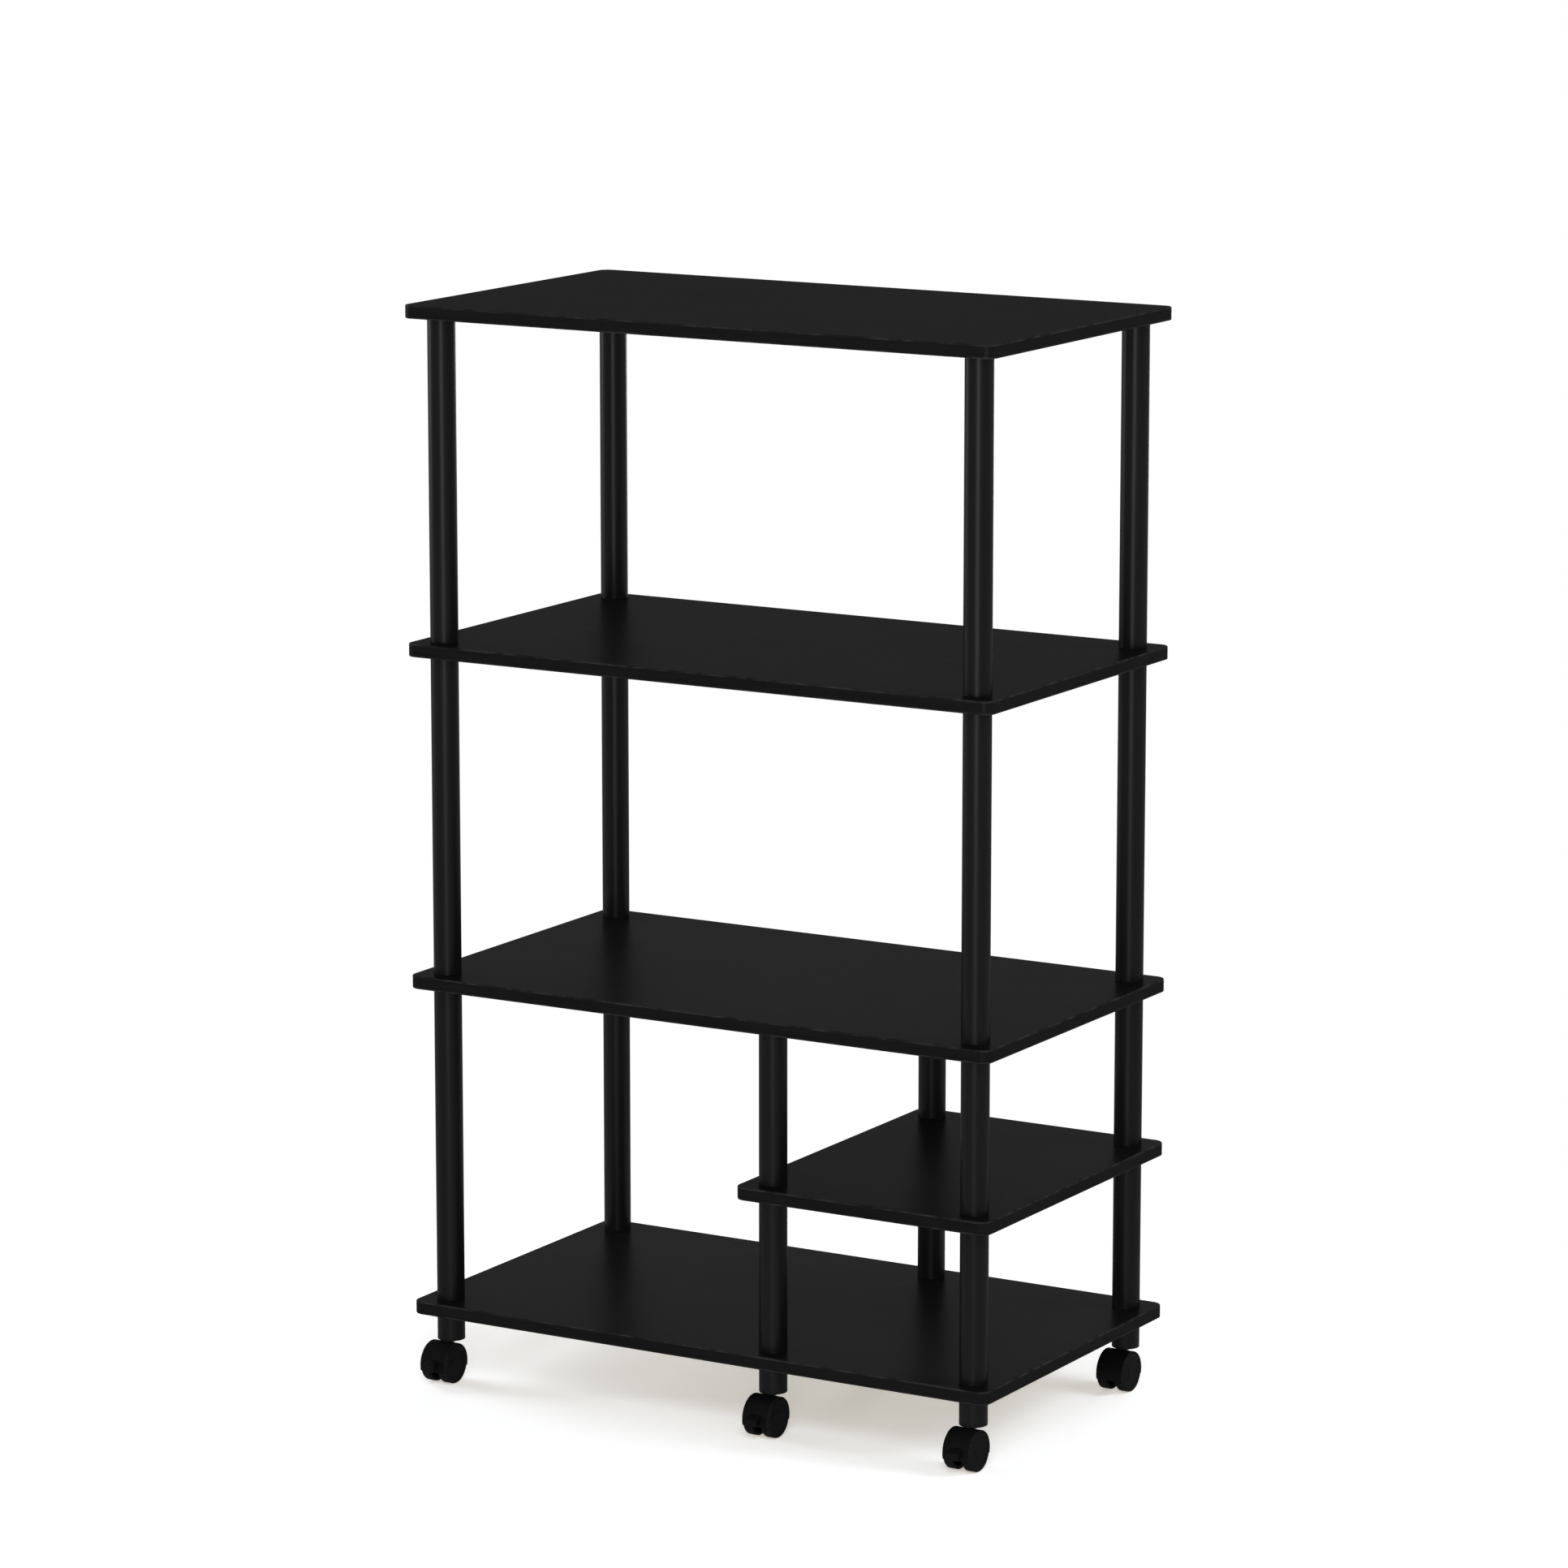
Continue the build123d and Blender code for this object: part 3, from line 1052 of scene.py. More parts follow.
@dataclass(frozen=True)
class PostTubes:
    """Tubes of the posts and legs.

    Attributes:
        workshop: the shape trees.
        wall: the tubes' wall.
        end_round: rounding of the outer rims.
        steps: straight steps round a tube.
    """

    workshop: Workshop
    wall: float = 1.5 * MM
    end_round: float = 0.35 * MM
    steps: int = 72

    @staticmethod
    def nodes() -> list[str]:
        """Returns the CAD nodes of the tubes."""
        return nodes_ending("_post", "_leg")

    def build(self) -> None:
        """Makes every tube."""
        for node in self.nodes():
            stand_for(self.tube(node), node)

    def tube(self, node: str) -> Piece:
        """Makes one tube.

        Args:
            node: the CAD node that it stands for.

        Returns:
            The tube.
        """
        low, high = node_box(node)
        radius = (high.x - low.x) / 2
        length = high.z - low.z
        section = Section((
            Corner(radius - self.wall, 0),
            Corner(radius - self.wall, length),
            Corner(radius, length, self.end_round),
            Corner(radius, 0, self.end_round),
        ))
        middle = (low + high) / 2
        return self.workshop.turning.make(
            f"{node}_tube",
            section.mesh(node),
            SATIN_TUBE,
            radius=radius,
            steps=self.steps,
            turn=(0, 0, 0),
            place=(middle.x, middle.y, low.z),
        )


@dataclass(frozen=True)
class ShelfBoards:
    """Laminated boards, drilled for the studs that join the tubes through them.

    Attributes:
        workshop: the shape trees.
        tubes: the CAD nodes of the tubes, which say where the holes are.
        corner_radius: the boards' corners, seen from above.
        corner_steps: straight steps in a corner.
        edge_round: rounding of the edges.
        edge_strip: width of the flat strip inside the edges.
        through_radius: holes that a stud passes.
        blind_radius: holes that hold a stud.
        blind_skin: board left over a blind hole.
    """

    workshop: Workshop
    tubes: Sequence[str]
    corner_radius: float = 10.5 * MM
    corner_steps: int = 14
    edge_round: float = 1.0 * MM
    edge_strip: float = 4.0 * MM
    through_radius: float = 8.25 * MM
    blind_radius: float = 7.85 * MM
    blind_skin: float = 3.0 * MM

    OVERCUT = 1.0 * MM
    EDGE_GUARD = 0.5 * MM

    def build(self) -> None:
        """Makes every board and drills it."""
        for node in nodes_ending("_shelf"):
            board = self.board(node)
            carve(board, self.drills(node), Carving.CUT)
            shade(board)
            stand_for(board, node)

    def board(self, node: str) -> Piece:
        """Makes one board without its holes.

        Args:
            node: the CAD node that it stands for.

        Returns:
            The board.
        """
        low, high = node_box(node)
        size = high - low
        section = Section(
            (
                Corner(-self.edge_strip, size.z),
                Corner(0, size.z, self.edge_round),
                Corner(0, 0, self.edge_round),
                Corner(-self.edge_strip, 0),
            ),
            closed=False,
            guard=self.EDGE_GUARD,
        )
        middle = (low + high) / 2
        return self.workshop.boarding.make(
            f"{node}_board",
            section.mesh(node),
            BLACK_LAMINATE,
            width=size.x,
            depth=size.y,
            thickness=size.z,
            corner_radius=self.corner_radius,
            corner_steps=self.corner_steps,
            place=(middle.x, middle.y, low.z),
        )

    def drills(self, node: str) -> list[Piece]:
        """Makes the drills for a board: through holes where a tube stands on it, blind ones elsewhere.

        Args:
            node: the board's CAD node.

        Returns:
            One piece for each kind of hole that the board has.
        """
        low, high = node_box(node)
        above: list[Vector] = []
        below: list[Vector] = []
        for tube in self.tubes:
            foot, head = node_box(tube)
            middle = node_middle(tube).xy
            if not low.x < middle.x < high.x:
                continue
            if abs(foot.z - high.z) < SAME_PLACE:
                above.append(middle)
            if abs(head.z - low.z) < SAME_PLACE:
                below.append(middle)
        blind = [place for place in below if all((place - other).length > SAME_PLACE for other in above)]
        rows = (
            (above, self.through_radius, high.z + self.OVERCUT),
            (blind, self.blind_radius, high.z - self.blind_skin),
        )
        start = low.z - self.OVERCUT
        return [
            self.workshop.drills(places, radius, start, stop, BLACK_LAMINATE)
            for places, radius, stop in rows
            if places
        ]


@dataclass(frozen=True)
class CasterKit:
    """Twin-wheel casters: a hood and two wheels each, and a brake lever on the front ones.

    Each piece is made once about the middle of the axle and copied to every caster. A place in the side
    plane is (Y, Z) from there.

    Attributes:
        workshop: the shape trees.
        wheel_radius: the wheels' radius.
        wheel_inner: from the caster's middle to a wheel's inner side.
        wheel_outer: from the caster's middle to a wheel's outer side.
        fender_radius: outer radius of the fender over the wheels.
        fender_half: half the fender's width.
        stem_offset: from the axle back to the stem on which the hood swivels.
        pedal_front: from the axle forward to the brake pedal's front.
        rim_thickness: wall of a wheel under its tread.
        face_thickness: a wheel's outer wall.
        face_recess: depth of the ring between hub cap and rim, outside.
        outer_tread_round: rounding of the tread's outer edge.
        inner_tread_round: rounding of the tread's inner edge.
        tread_dust_depth: how far the dust reaches in from the tread.
        small_round: rounding of small edges.
        hub_radius: a wheel's hub, inside.
        cap_radius: a wheel's hub cap, outside.
        axle_cover: wall over the axle's end.
        wheel_bore: radius of a wheel's bore.
        axle_bore: radius of the hood's bore for the axle.
        stem_bore: radius of the hood's bore for the stem.
        stem_floor: height of the stem's seat over the hood's lower edge.
        fender_thickness: the fender's wall.
        fender_round: rounding of the fender's outer edges.
        fender_drop_angle: how far the fender goes on below the axle's height.
        axle_boss_radius: the web's boss about the axle.
        web_half: half the thickness of the web between the wheels.
        brake_travel: turn of the lever that puts the brake on.
        pivot_depth: from the fender's front back to the lever's pivot.
        pivot_drop: from the axle's height down to the pivot.
        trunnion_radius: radius of the pins on which the lever turns.
        pivot_boss_radius: the lever's boss about them.
        lever_arm_half: half the thickness of the lever's arms.
        slot_half: half the width of the slot that they move in.
        lever_room: room round the lever in its slots.
        running_room: room round the trunnions.
        shoe_radius: radius of the shoe bar.
        shoe_angle: the bar's height on the rim when the brake is on, as an angle from the front.
        shoe_room: room left between bar and rim then.
        shoe_reach: how far the bar reaches into each wheel.
        neck_radius: the lever's neck, which joins the pedal.
        pedal_half: half the pedal's width.
        pedal_root_height: the pedal's height over the axle at the fender.
        pedal_tip_height: its height over the axle at its front.
        pedal_tip_drop: from the axle's height down to the pedal's lower front edge.
        pedal_room: room between pedal and fender.
        pedal_round: rounding of the pedal's edges.
    """

    workshop: Workshop
    wheel_radius: float
    wheel_inner: float
    wheel_outer: float
    fender_radius: float
    fender_half: float
    stem_offset: float
    pedal_front: float

    rim_thickness: float = 3.0 * MM
    face_thickness: float = 3.0 * MM
    face_recess: float = 0.6 * MM
    outer_tread_round: float = 1.4 * MM
    inner_tread_round: float = 1.0 * MM
    tread_dust_depth: float = 0.25 * MM
    small_round: float = 0.3 * MM
    hub_radius: float = 5.0 * MM
    cap_radius: float = 6.5 * MM
    axle_cover: float = 1.5 * MM
    wheel_bore: float = 2.05 * MM
    axle_bore: float = 2.02 * MM
    stem_bore: float = 3.05 * MM
    stem_floor: float = 4.5 * MM
    fender_thickness: float = 1.2 * MM
    fender_round: float = 0.8 * MM
    fender_drop_angle: float = math.radians(15)
    axle_boss_radius: float = 7.0 * MM
    web_half: float = 4.2 * MM
    brake_travel: float = math.radians(15)
    pivot_depth: float = 7.0 * MM
    pivot_drop: float = 1.0 * MM
    trunnion_radius: float = 1.5 * MM
    pivot_boss_radius: float = 2.4 * MM
    lever_arm_half: float = 2.2 * MM
    slot_half: float = 2.5 * MM
    lever_room: float = 0.4 * MM
    running_room: float = 0.05 * MM
    shoe_radius: float = 1.4 * MM
    shoe_angle: float = math.radians(40)
    shoe_room: float = 0.15 * MM
    shoe_reach: float = 2.5 * MM
    neck_radius: float = 2.0 * MM
    pedal_half: float = 5.5 * MM
    pedal_root_height: float = 7.0 * MM
    pedal_tip_height: float = 3.0 * MM
    pedal_tip_drop: float = 3.0 * MM
    pedal_room: float = 0.5 * MM
    pedal_round: float = 0.6 * MM

    WHEEL_STEPS = 96
    ARCH_STEPS = 120
    DISC_STEPS = 96
    BORE_STEPS = 48
    AXLE = Vector((0, 0))

    @classmethod
    def from_frame(cls, workshop: Workshop, corner: str) -> "CasterKit":
        """Takes the main sizes from one caster of the frame.

        Args:
            workshop: the shape trees.
            corner: row and column of a caster with a brake.
        """
        axle = node_middle(f"{corner}_caster_axle")
        wheel_low, wheel_high = node_box(f"{corner}_caster_right_wheel")
        hood_low, hood_high = node_box(f"{corner}_caster_hood")
        lever_low, _ = node_box(f"{corner}_caster_brake_lever")
        return cls(
            workshop,
            wheel_radius=(wheel_high.z - wheel_low.z) / 2,
            wheel_inner=wheel_low.x - axle.x,
            wheel_outer=wheel_high.x - axle.x,
            fender_radius=(hood_high.y - hood_low.y) / 2,
            fender_half=(hood_high.x - hood_low.x) / 2,
            stem_offset=node_middle(f"{corner}_leg").y - axle.y,
            pedal_front=axle.y - lever_low.y,
        )

    @property
    def wheel_finish(self) -> WheelFinish:
        """The wheels' finish."""
        return WheelFinish(
            name="wheel_plastic",
            tone=grey(0.004),
            wear_and_highlight_tone=grey(0.017, 0.1),
            roughness=(0.45, 0.6),
            gloss=0.075,
            gloss_roughness=0.4,
            tread_start=self.wheel_radius - self.tread_dust_depth,
        )

    @property
    def fender_inner(self) -> float:
        """Inner radius of the fender."""
        return self.fender_radius - self.fender_thickness

    @property
    def fender_drop(self) -> float:
        """How far the fender's ends lie below the axle."""
        return self.fender_radius * math.sin(self.fender_drop_angle)

    @property
    def pivot(self) -> Vector:
        """The lever's pivot in the side plane."""
        return Vector((self.pivot_depth - self.fender_radius, -self.pivot_drop))

    @property
    def shoe_places(self) -> tuple[Vector, Vector]:
        """Finds the shoe bar in the side plane.

        Returns:
            Its place at rest, and its place when the brake is on.
        """
        reach = self.wheel_radius - self.rim_thickness - self.shoe_room - self.shoe_radius
        locked = Vector((-math.cos(self.shoe_angle), math.sin(self.shoe_angle))) * reach
        return turned_about(locked, self.pivot, -self.brake_travel), locked

    @property
    def neck_places(self) -> tuple[Vector, Vector]:
        """Finds the lever's neck in the side plane, half way up the pedal.

        Returns:
            Its place at rest, and its place when the brake is on.
        """
        pedal_height = (self.pedal_tip_height + self.pedal_root_height) / 2
        rest = Vector((-(self.fender_radius + self.pedal_front) / 2, pedal_height / 2))
        return rest, turned_about(rest, self.pivot, self.brake_travel)

    def disc(self, name: str, place: Vector, radius: float, half_width: float) -> Piece:
        """Returns a round bar across the caster about a place in the side plane."""
        return plate(name, circle(place, radius, self.BORE_STEPS), half_width, LEVER_PLASTIC)

    def wheel(self, side: Side) -> Piece:
        """Makes one wheel about the axle, hollow on its inner side.

        Args:
            side: the side of the caster.

        Returns:
            The wheel.
        """
        width = self.wheel_outer - self.wheel_inner
        rim = self.wheel_radius - self.rim_thickness
        face = width - self.face_thickness
        recess = self.face_recess
        section = Section(
            (
                Corner(0, width),
                Corner(self.cap_radius, width, self.small_round),
                Corner(self.cap_radius + recess, width - recess, self.small_round),
                Corner(rim, width - recess, self.small_round),
                Corner(rim + recess, width, self.small_round),
                Corner(self.wheel_radius, width, self.outer_tread_round),
                Corner(self.wheel_radius, 0, self.inner_tread_round),
                Corner(rim, 0),
                Corner(rim, face),
                Corner(self.hub_radius, face),
                Corner(self.hub_radius, 0),
                Corner(self.wheel_bore, 0),
                Corner(self.wheel_bore, width - self.axle_cover),
                Corner(0, width - self.axle_cover),
            ),
            closed=False,
        )
        return self.workshop.turning.make(
            f"{side.name.lower()}_wheel_master",
            section.mesh("wheel_section"),
            self.wheel_finish,
            radius=self.wheel_radius,
            steps=self.WHEEL_STEPS,
            turn=(0, side.value * QUARTER_TURN, 0),
            place=(side.value * self.wheel_inner, 0, 0),
        )

    def fender(self) -> Piece:
        """Makes the fender that arches over both wheels, cut level at its two ends.

        Returns:
            The fender.
        """
        section = Section((
            Corner(self.fender_inner, -self.fender_half),
            Corner(self.fender_inner, self.fender_half),
            Corner(self.fender_radius, self.fender_half, self.fender_round),
            Corner(self.fender_radius, -self.fender_half, self.fender_round),
        ))
        overlong = 2 * self.fender_drop_angle
        shell = self.workshop.arching.make(
            "fender",
            section.mesh("fender_section"),
            HOOD_PLASTIC,
            radius=self.fender_radius,
            steps=self.ARCH_STEPS,
            start=QUARTER_TURN - overlong,
            sweep=math.pi + 2 * overlong,
            turn=(0, QUARTER_TURN, 0),
            place=(0, 0, 0),
        )
        reach = 2 * self.fender_radius
        floor = [
            Vector((-reach, -reach)),
            Vector((reach, -reach)),
            Vector((reach, -self.fender_drop)),
            Vector((-reach, -self.fender_drop)),
        ]
        carve(shell, [plate("fender_cut", floor, reach, HOOD_PLASTIC)], Carving.CUT)
        return shell

    def web(self) -> Piece:
        """Makes the web between the wheels, with its boss about the axle.

        Returns:
            The web.
        """
        radius = self.fender_radius - self.fender_thickness / 2
        boss = self.axle_boss_radius
        end = math.asin(self.fender_drop / radius)
        boss_end = math.asin(self.fender_drop / boss)
        outline = arc(self.AXLE, radius, -end, math.pi + end, self.DISC_STEPS)
        outline += arc(self.AXLE, boss, math.pi + boss_end, FULL_TURN - boss_end, self.BORE_STEPS)
        piece = plate("web", outline, self.web_half, HOOD_PLASTIC)
        soften(piece, self.small_round)
        return piece

    def hood(self, braked: bool) -> Piece:
        """Makes the caster's body: fender, web and bores.

        Args:
            braked: whether it has the slot, window and bore of a brake lever.

        Returns:
            The hood.
        """
        piece = self.fender()
        carve(piece, [self.web()], Carving.JOIN)
        through = 2 * self.web_half
        seat = self.stem_floor - self.fender_drop
        stem = [Vector((0, self.stem_offset))]
        cuts = [
            self.disc("axle_cut", self.AXLE, self.axle_bore, through),
            self.workshop.drills(stem, self.stem_bore, seat, 2 * self.fender_radius, HOOD_PLASTIC),
        ]
        if braked:
            cuts += self.brake_cuts()
        carve(piece, cuts, Carving.CUT)
        shade(piece)
        piece.name = "braked_hood_master" if braked else "plain_hood_master"
        return piece

    def brake_cuts(self) -> list[Piece]:
        """Makes the solids that cut a lever's slot, shoe window and trunnion bore.

        Returns:
            The solids.
        """
        room = self.lever_room
        boss = (self.pivot, self.pivot_boss_radius + room)
        shoes = [(place, self.shoe_radius + room) for place in self.shoe_places]
        necks = [(place, self.neck_radius + room) for place in self.neck_places]
        through = 2 * self.web_half
        return [
            plate("shoe_slot_cut", stretched_round(boss, *shoes), self.slot_half, HOOD_PLASTIC),
            plate("neck_slot_cut", stretched_round(boss, *necks), self.slot_half, HOOD_PLASTIC),
            plate("window_cut", stretched_round(*shoes), through, HOOD_PLASTIC),
            self.disc("trunnion_cut", self.pivot, self.trunnion_radius + self.running_room, through),
        ]

    def pedal(self) -> Piece:
        """Makes the foot pedal, which stands clear of the fender.

        Returns:
            The pedal.
        """
        side = [
            Vector((-self.fender_inner, self.pedal_root_height)),
            Vector((-self.pedal_front, self.pedal_tip_height)),
            Vector((-self.pedal_front, -self.pedal_tip_drop)),
            Vector((-self.fender_radius, -self.pivot_drop)),
        ]
        piece = plate("pedal", side, self.pedal_half, LEVER_PLASTIC)
        clear = circle(self.AXLE, self.fender_radius + self.pedal_room, self.DISC_STEPS)
        carve(piece, [plate("fender_clearance", clear, 2 * self.pedal_half, LEVER_PLASTIC)], Carving.CUT)
        soften(piece, self.pedal_round)
        return piece

    def lever(self) -> Piece:
        """Makes the brake lever: pedal, arms, trunnions and shoe bar.

        Returns:
            The lever.
        """
        piece = self.pedal()
        piece.name = "lever_master"
        shoe, _ = self.shoe_places
        neck, _ = self.neck_places
        boss = (self.pivot, self.pivot_boss_radius)
        neck_arm = stretched_round(boss, (neck, self.neck_radius))
        shoe_arm = stretched_round(boss, (shoe, self.shoe_radius))
        trunnion_half = self.web_half - self.running_room
        parts = [
            plate("neck_arm", neck_arm, self.lever_arm_half, LEVER_PLASTIC),
            plate("shoe_arm", shoe_arm, self.lever_arm_half, LEVER_PLASTIC),
            self.disc("trunnion", self.pivot, self.trunnion_radius, trunnion_half),
            self.disc("shoe_bar", shoe, self.shoe_radius, self.wheel_inner + self.shoe_reach),
        ]
        carve(piece, parts, Carving.JOIN)
        shade(piece)
        return piece

    def build(self) -> None:
        """Makes the master pieces and fits copies of them to every caster."""
        plain_hood = self.hood(braked=False)
        braked_hood = self.hood(braked=True)
        wheels = {f"{side.name.lower()}_wheel": self.wheel(side) for side in Side}
        lever = self.lever()
        for axle in nodes_ending("_caster_axle"):
            caster = axle.removesuffix("_axle")
            braked = f"{caster}_brake_lever" in frame["nodes"]
            self.fit(braked_hood if braked else plain_hood, caster, "hood", Slot.HOOD)
            for ending, wheel in wheels.items():
                self.fit(wheel, caster, ending, Slot.WHEEL)
            if braked:
                self.fit(lever, caster, "brake_lever", Slot.LEVER)
        for master in (plain_hood, braked_hood, *wheels.values(), lever):
            bpy.data.objects.remove(master)

    @staticmethod
    def fit(master: Piece, caster: str, ending: str, slot: Slot) -> None:
        """Copies one master piece to a caster.

        Args:
            master: the master piece.
            caster: the start of the names of the caster's nodes.
            ending: the end of the name of the node that the copy stands for.
            slot: the record's slot for the piece's finish; not used.
        """
        node = f"{caster}_{ending}"
        mesh = master.data.copy()
        mesh.transform(Matrix.Translation(node_middle(f"{caster}_axle")))
        piece = added(f"{node}_moulding", mesh)
        mesh.name = piece.name
        stand_for(piece, node)


@dataclass(frozen=True)
class InnerPieces:
    """Plugs, stems and axles inside the joints, which keep their CAD mesh."""

    PLUGS = ("threaded_studs", "threaded_sockets", "leg_plugs")

    def build(self) -> None:
        """Gives each piece its finish."""
        for node in self.PLUGS:
            self.dress(node, PLUG_PLASTIC)
        for node in ("caster_stems", *nodes_ending("_caster_axle")):
            self.dress(node, PIN_STEEL)

    @staticmethod
    def dress(node: str, finish: Finish) -> None:
        """Puts a finish in the material slots of a CAD node.

        Args:
            node: the CAD node.
            finish: its finish.
        """
        for slot in frame["nodes"][node].material_slots:
            slot.material = finish.material()
        log.info("%s keeps its CAD mesh with %s", node, finish.name)


@dataclass(frozen=True)
class Lamp:
    """Flat soft lamp that points at the cart.

    Attributes:
        name: the lamp's name.
        azimuth: bearing from the cart, from the front towards the right.
        elevation: height above the horizon.
        power: power in watts.
        distance: distance from the cart's middle.
        width: its width.
        height: its height.
    """

    name: str
    azimuth: float
    elevation: float
    power: float
    distance: float = 4.5
    width: float = 1.2
    height: float = 0.96

    def build(self, target: Vector) -> None:
        """Adds the lamp.

        Args:
            target: the point that it shines at.
        """
        data = bpy.data.lights.new(self.name, "AREA")
        data.shape = "RECTANGLE"
        data.size = self.width
        data.size_y = self.height
        data.energy = self.power
        level = math.cos(self.elevation)
        away = Vector((
            math.sin(self.azimuth) * level, -math.cos(self.azimuth) * level, math.sin(self.elevation)
        ))
        lamp = added(self.name, data)
        lamp.location = target + away * self.distance
        lamp.rotation_euler = (-away).to_track_quat("-Z", "Y").to_euler()


@dataclass(frozen=True)
class HighLamp(Lamp):
    """Larger lamp that hangs nearer, and high enough to draw the shadow under the cart."""

    distance: float = 4.0
    width: float = 1.6
    height: float = 1.6


@dataclass(frozen=True)
class Studio:
    """Pale floor, white surround, soft lamps and the camera.

    Attributes:
        camera_azimuth: the camera's bearing, from the front towards the right.
        camera_distance: level distance from the cart's middle.
        camera_height: height above the floor.
        camera_pitch: how far it looks down.
        lens: focal length in millimetres.
        floor_size: length of the floor's side.
        floor_shade: colour of the floor's part that takes shadows, a little past white.
        floor_glow: colour of the floor's part that doesn't.
        floor_body: colour of the floor in the light that it throws back.
        floor_fade: distances from the cart between which the floor turns plain white.
        surround: strength of the surround's light near the floor.
        light_heights: heights of a direction, from 0 level to 1 straight up, where that light ends.
        overhead: how bright the surround looks overhead, where 1 is white.
        dim_heights: heights of a direction between which its look dims.
        lamps: the lamps.
    """

    camera_azimuth: float = math.radians(30.417)
    camera_distance: float = 5.6259
    camera_height: float = 1.6384
    camera_pitch: float = math.radians(10.841)
    lens: float = 145.68
    floor_size: float = 60.0
    floor_shade: Colour = (1.14, 1.24, 1.37, 1.0)
    floor_glow: Colour = (0.425, 0.38, 0.315, 1.0)
    floor_body: Colour = grey(0.8)
    floor_fade: Range = (0.4, 0.9)
    surround: float = 0.57
    light_heights: Range = (0.4, 0.7)
    overhead: float = 0.45
    dim_heights: Range = (0.25, 0.7)
    lamps: tuple[Lamp, ...] = (
        Lamp("front_lamp", azimuth=math.radians(25), elevation=0.0, power=66.0),
        Lamp("rear_lamp", azimuth=math.radians(184), elevation=math.radians(3), power=60.0),
        Lamp("left_lamp", azimuth=math.radians(282), elevation=math.radians(6), power=62.0),
        Lamp("low_lamp", azimuth=math.radians(210), elevation=math.radians(2), power=14.0, width=2.0),
        HighLamp("high_front_lamp", azimuth=math.radians(30), elevation=math.radians(35), power=41.0),
        HighLamp("high_right_lamp", azimuth=math.radians(112), elevation=math.radians(30), power=46.0),
        HighLamp("high_left_lamp", azimuth=math.radians(262), elevation=math.radians(25), power=36.0),
    )

    SENSOR_WIDTH = 36.0
    FLOOR_DROP = 0.1 * MM

    def build(self) -> None:
        """Adds floor, surround, lamps and camera."""
        low, high = (Vector(corner) for corner in cad_box)
        middle = (low + high) / 2
        self.lay_floor(low.z - self.FLOOR_DROP)
        self.hang_surround()
        for lamp in self.lamps:
            lamp.build(middle)
        self.set_camera(middle)
        bpy.context.scene.view_settings.view_transform = "Standard"
        log.info("studio with %d lamps", len(self.lamps))

    @staticmethod
    def shown(sheet: NodeSheet) -> Socket:
        """Tells the rays that see the studio, from the camera or by a mirror, from those that light it.

        Args:
            sheet: the nodes of the material or world.

        Returns:
            The socket with 1 for rays that see it.
        """
        path = sheet.add("ShaderNodeLightPath").outputs
        mirrored = sheet.math("MAXIMUM", path["Is Glossy Ray"], path["Is Transmission Ray"])
        return sheet.math("MAXIMUM", path["Is Camera Ray"], mirrored)

    def floor_material(self) -> bpy.types.Material:
        """Makes the floor's material, which turns plain white away from the cart.

        Returns:
            The material.
        """
        material = bpy.data.materials.new("pale_floor")
        sheet = NodeSheet.of(material)
        shadowed = sheet.output("ShaderNodeBsdfDiffuse", {"Color": self.floor_shade})
        glow = sheet.output("ShaderNodeEmission", {"Color": self.floor_glow})
        near = sheet.output("ShaderNodeAddShader", {0: shadowed, 1: glow})
        far = sheet.output("ShaderNodeEmission", {"Color": WHITE})
        coords = sheet.add("ShaderNodeTexCoord").outputs["Object"]
        away = sheet.add("ShaderNodeVectorMath", {0: coords}, operation="LENGTH").outputs["Value"]
        fade = sheet.span(away, self.floor_fade, (0, 1))
        seen = sheet.output("ShaderNodeMixShader", {0: fade, 1: near, 2: far})
        body = sheet.output("ShaderNodeBsdfDiffuse", {"Color": self.floor_body})
        mixed = sheet.output("ShaderNodeMixShader", {0: self.shown(sheet), 1: body, 2: seen})
        sheet.add("ShaderNodeOutputMaterial", {"Surface": mixed})
        return material

    def lay_floor(self, height: float) -> None:
        """Lays the floor.

        Args:
            height: its height.
        """
        half = self.floor_size / 2
        corners = [(-half, -half), (half, -half), (half, half), (-half, half)]
        mesh = bpy.data.meshes.new("studio_floor")
        mesh.from_pydata([(x, y, height) for x, y in corners], [], [(0, 1, 2, 3)])
        mesh.materials.append(self.floor_material())
        floor = added("studio_floor", mesh)

    def hang_surround(self) -> None:
        """Hangs the white surround, which looks dimmer overhead and lights the cart from low down."""
        world = bpy.data.worlds.new("white_surround")
        sheet = NodeSheet.of(world)
        direction = sheet.add("ShaderNodeTexCoord").outputs["Generated"]
        height = sheet.add("ShaderNodeSeparateXYZ", {0: direction}).outputs[2]
        cast = sheet.span(height, self.light_heights, (self.surround, 0.0))
        light = sheet.output("ShaderNodeBackground", {"Color": WHITE, "Strength": cast})
        dimmed = sheet.span(height, self.dim_heights, (1.0, self.overhead))
        look = sheet.output("ShaderNodeBackground", {"Color": WHITE, "Strength": dimmed})
        mixed = sheet.output("ShaderNodeMixShader", {0: self.shown(sheet), 1: light, 2: look})
        sheet.add("ShaderNodeOutputWorld", {"Surface": mixed})
        bpy.context.scene.world = world

    def set_camera(self, middle: Vector) -> None:
        """Sets the camera at the photograph's viewing angle.

        Args:
            middle: the middle of the cart.
        """
        data = bpy.data.cameras.new("photo_camera")
        data.sensor_width = self.SENSOR_WIDTH
        data.lens = self.lens
        camera = added("photo_camera", data)
        camera.location = (
            middle.x + math.sin(self.camera_azimuth) * self.camera_distance,
            middle.y - math.cos(self.camera_azimuth) * self.camera_distance,
            self.camera_height,
        )
        camera.rotation_euler = (QUARTER_TURN - self.camera_pitch, 0, self.camera_azimuth)
        bpy.context.scene.camera = camera


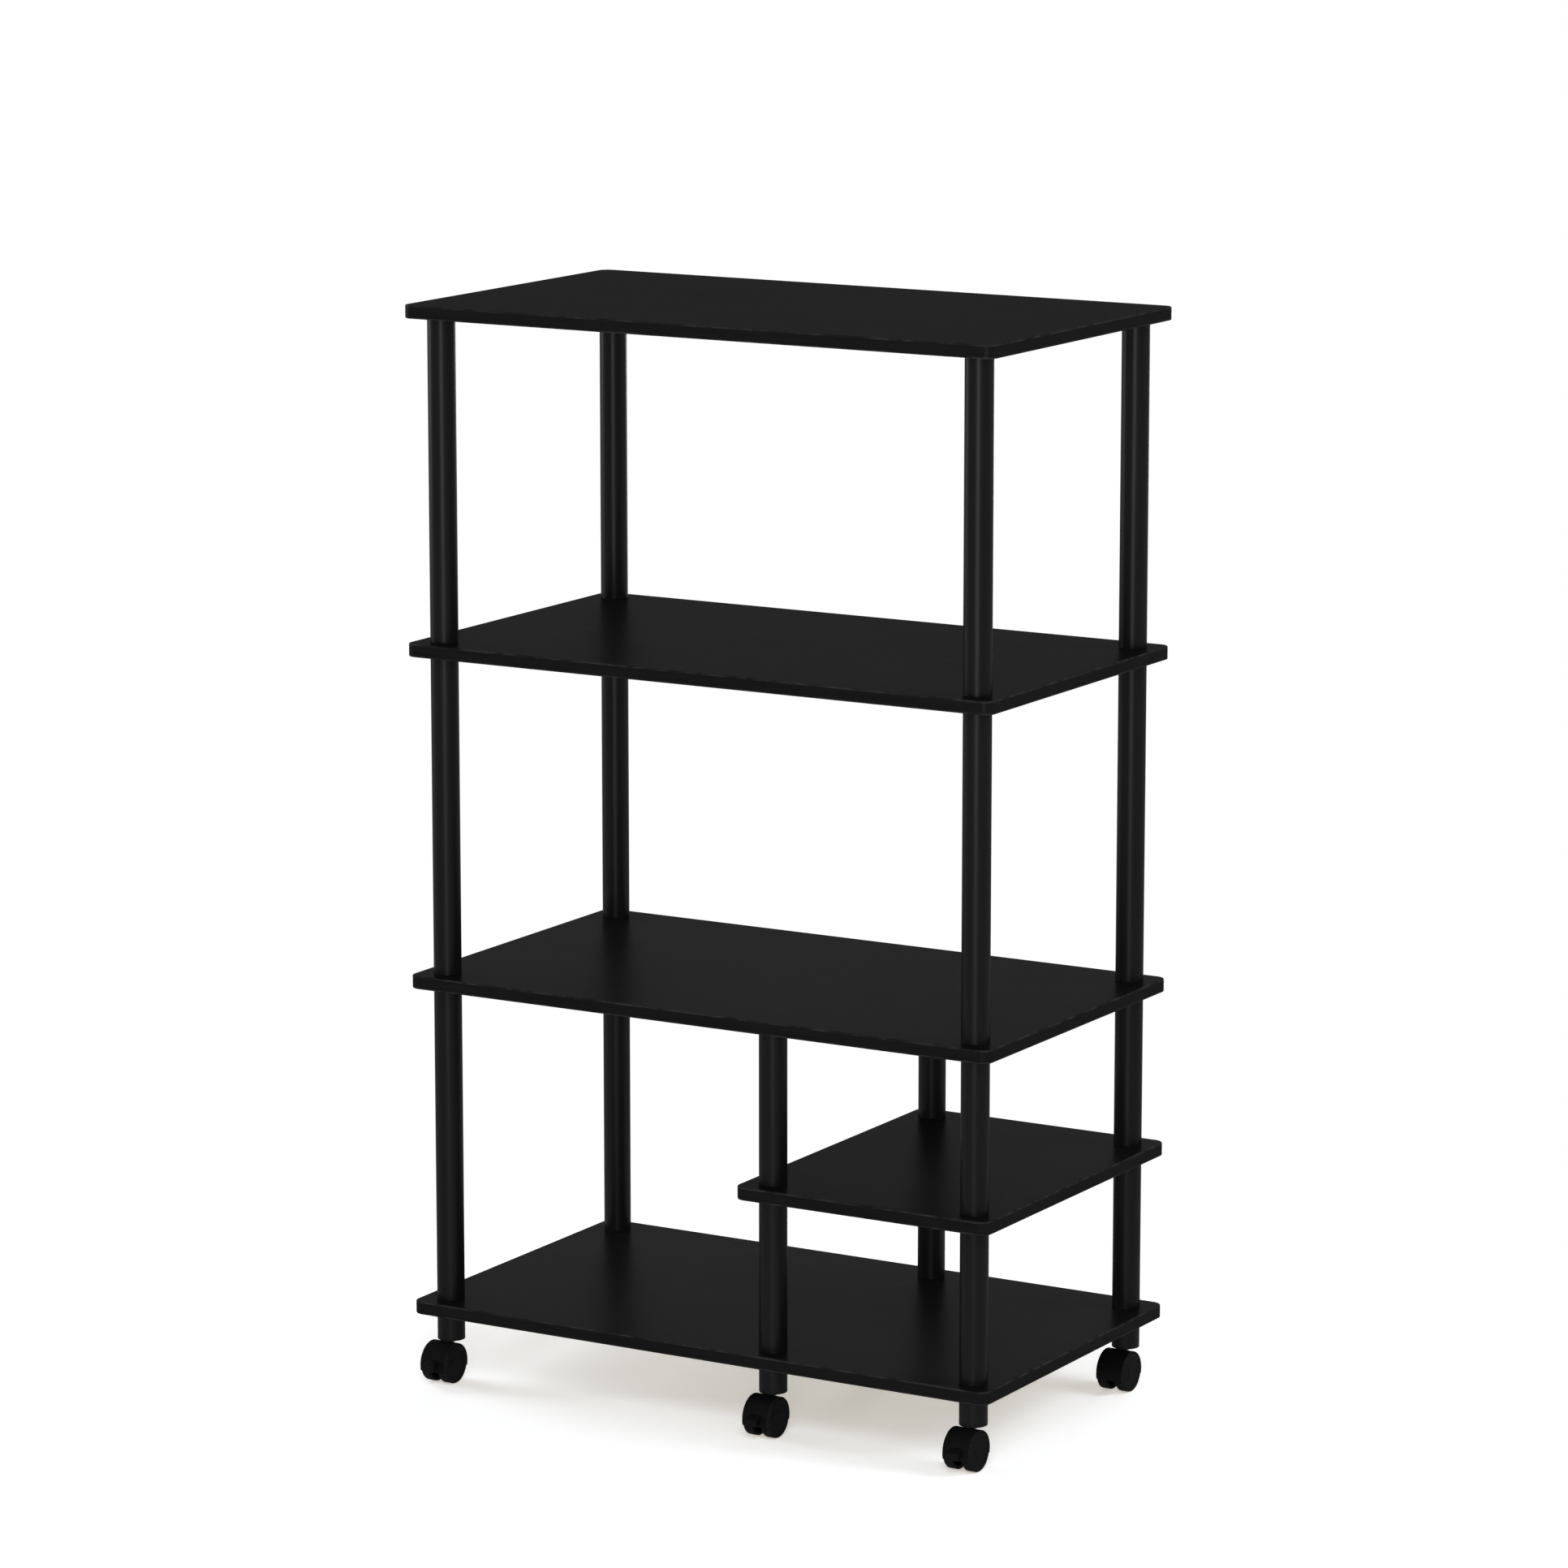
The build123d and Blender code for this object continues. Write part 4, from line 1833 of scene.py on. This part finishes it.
def main() -> None:
    """Builds the cart's pieces and the studio."""
    logging.basicConfig(level=logging.INFO, format="%(message)s")
    workshop = Workshop()
    tubes = PostTubes(workshop)
    tubes.build()
    ShelfBoards(workshop, tubes.nodes()).build()
    CasterKit.from_frame(workshop, "front_left").build()
    InnerPieces().build()
    Studio().build()


if __name__ == "__main__":
    main()
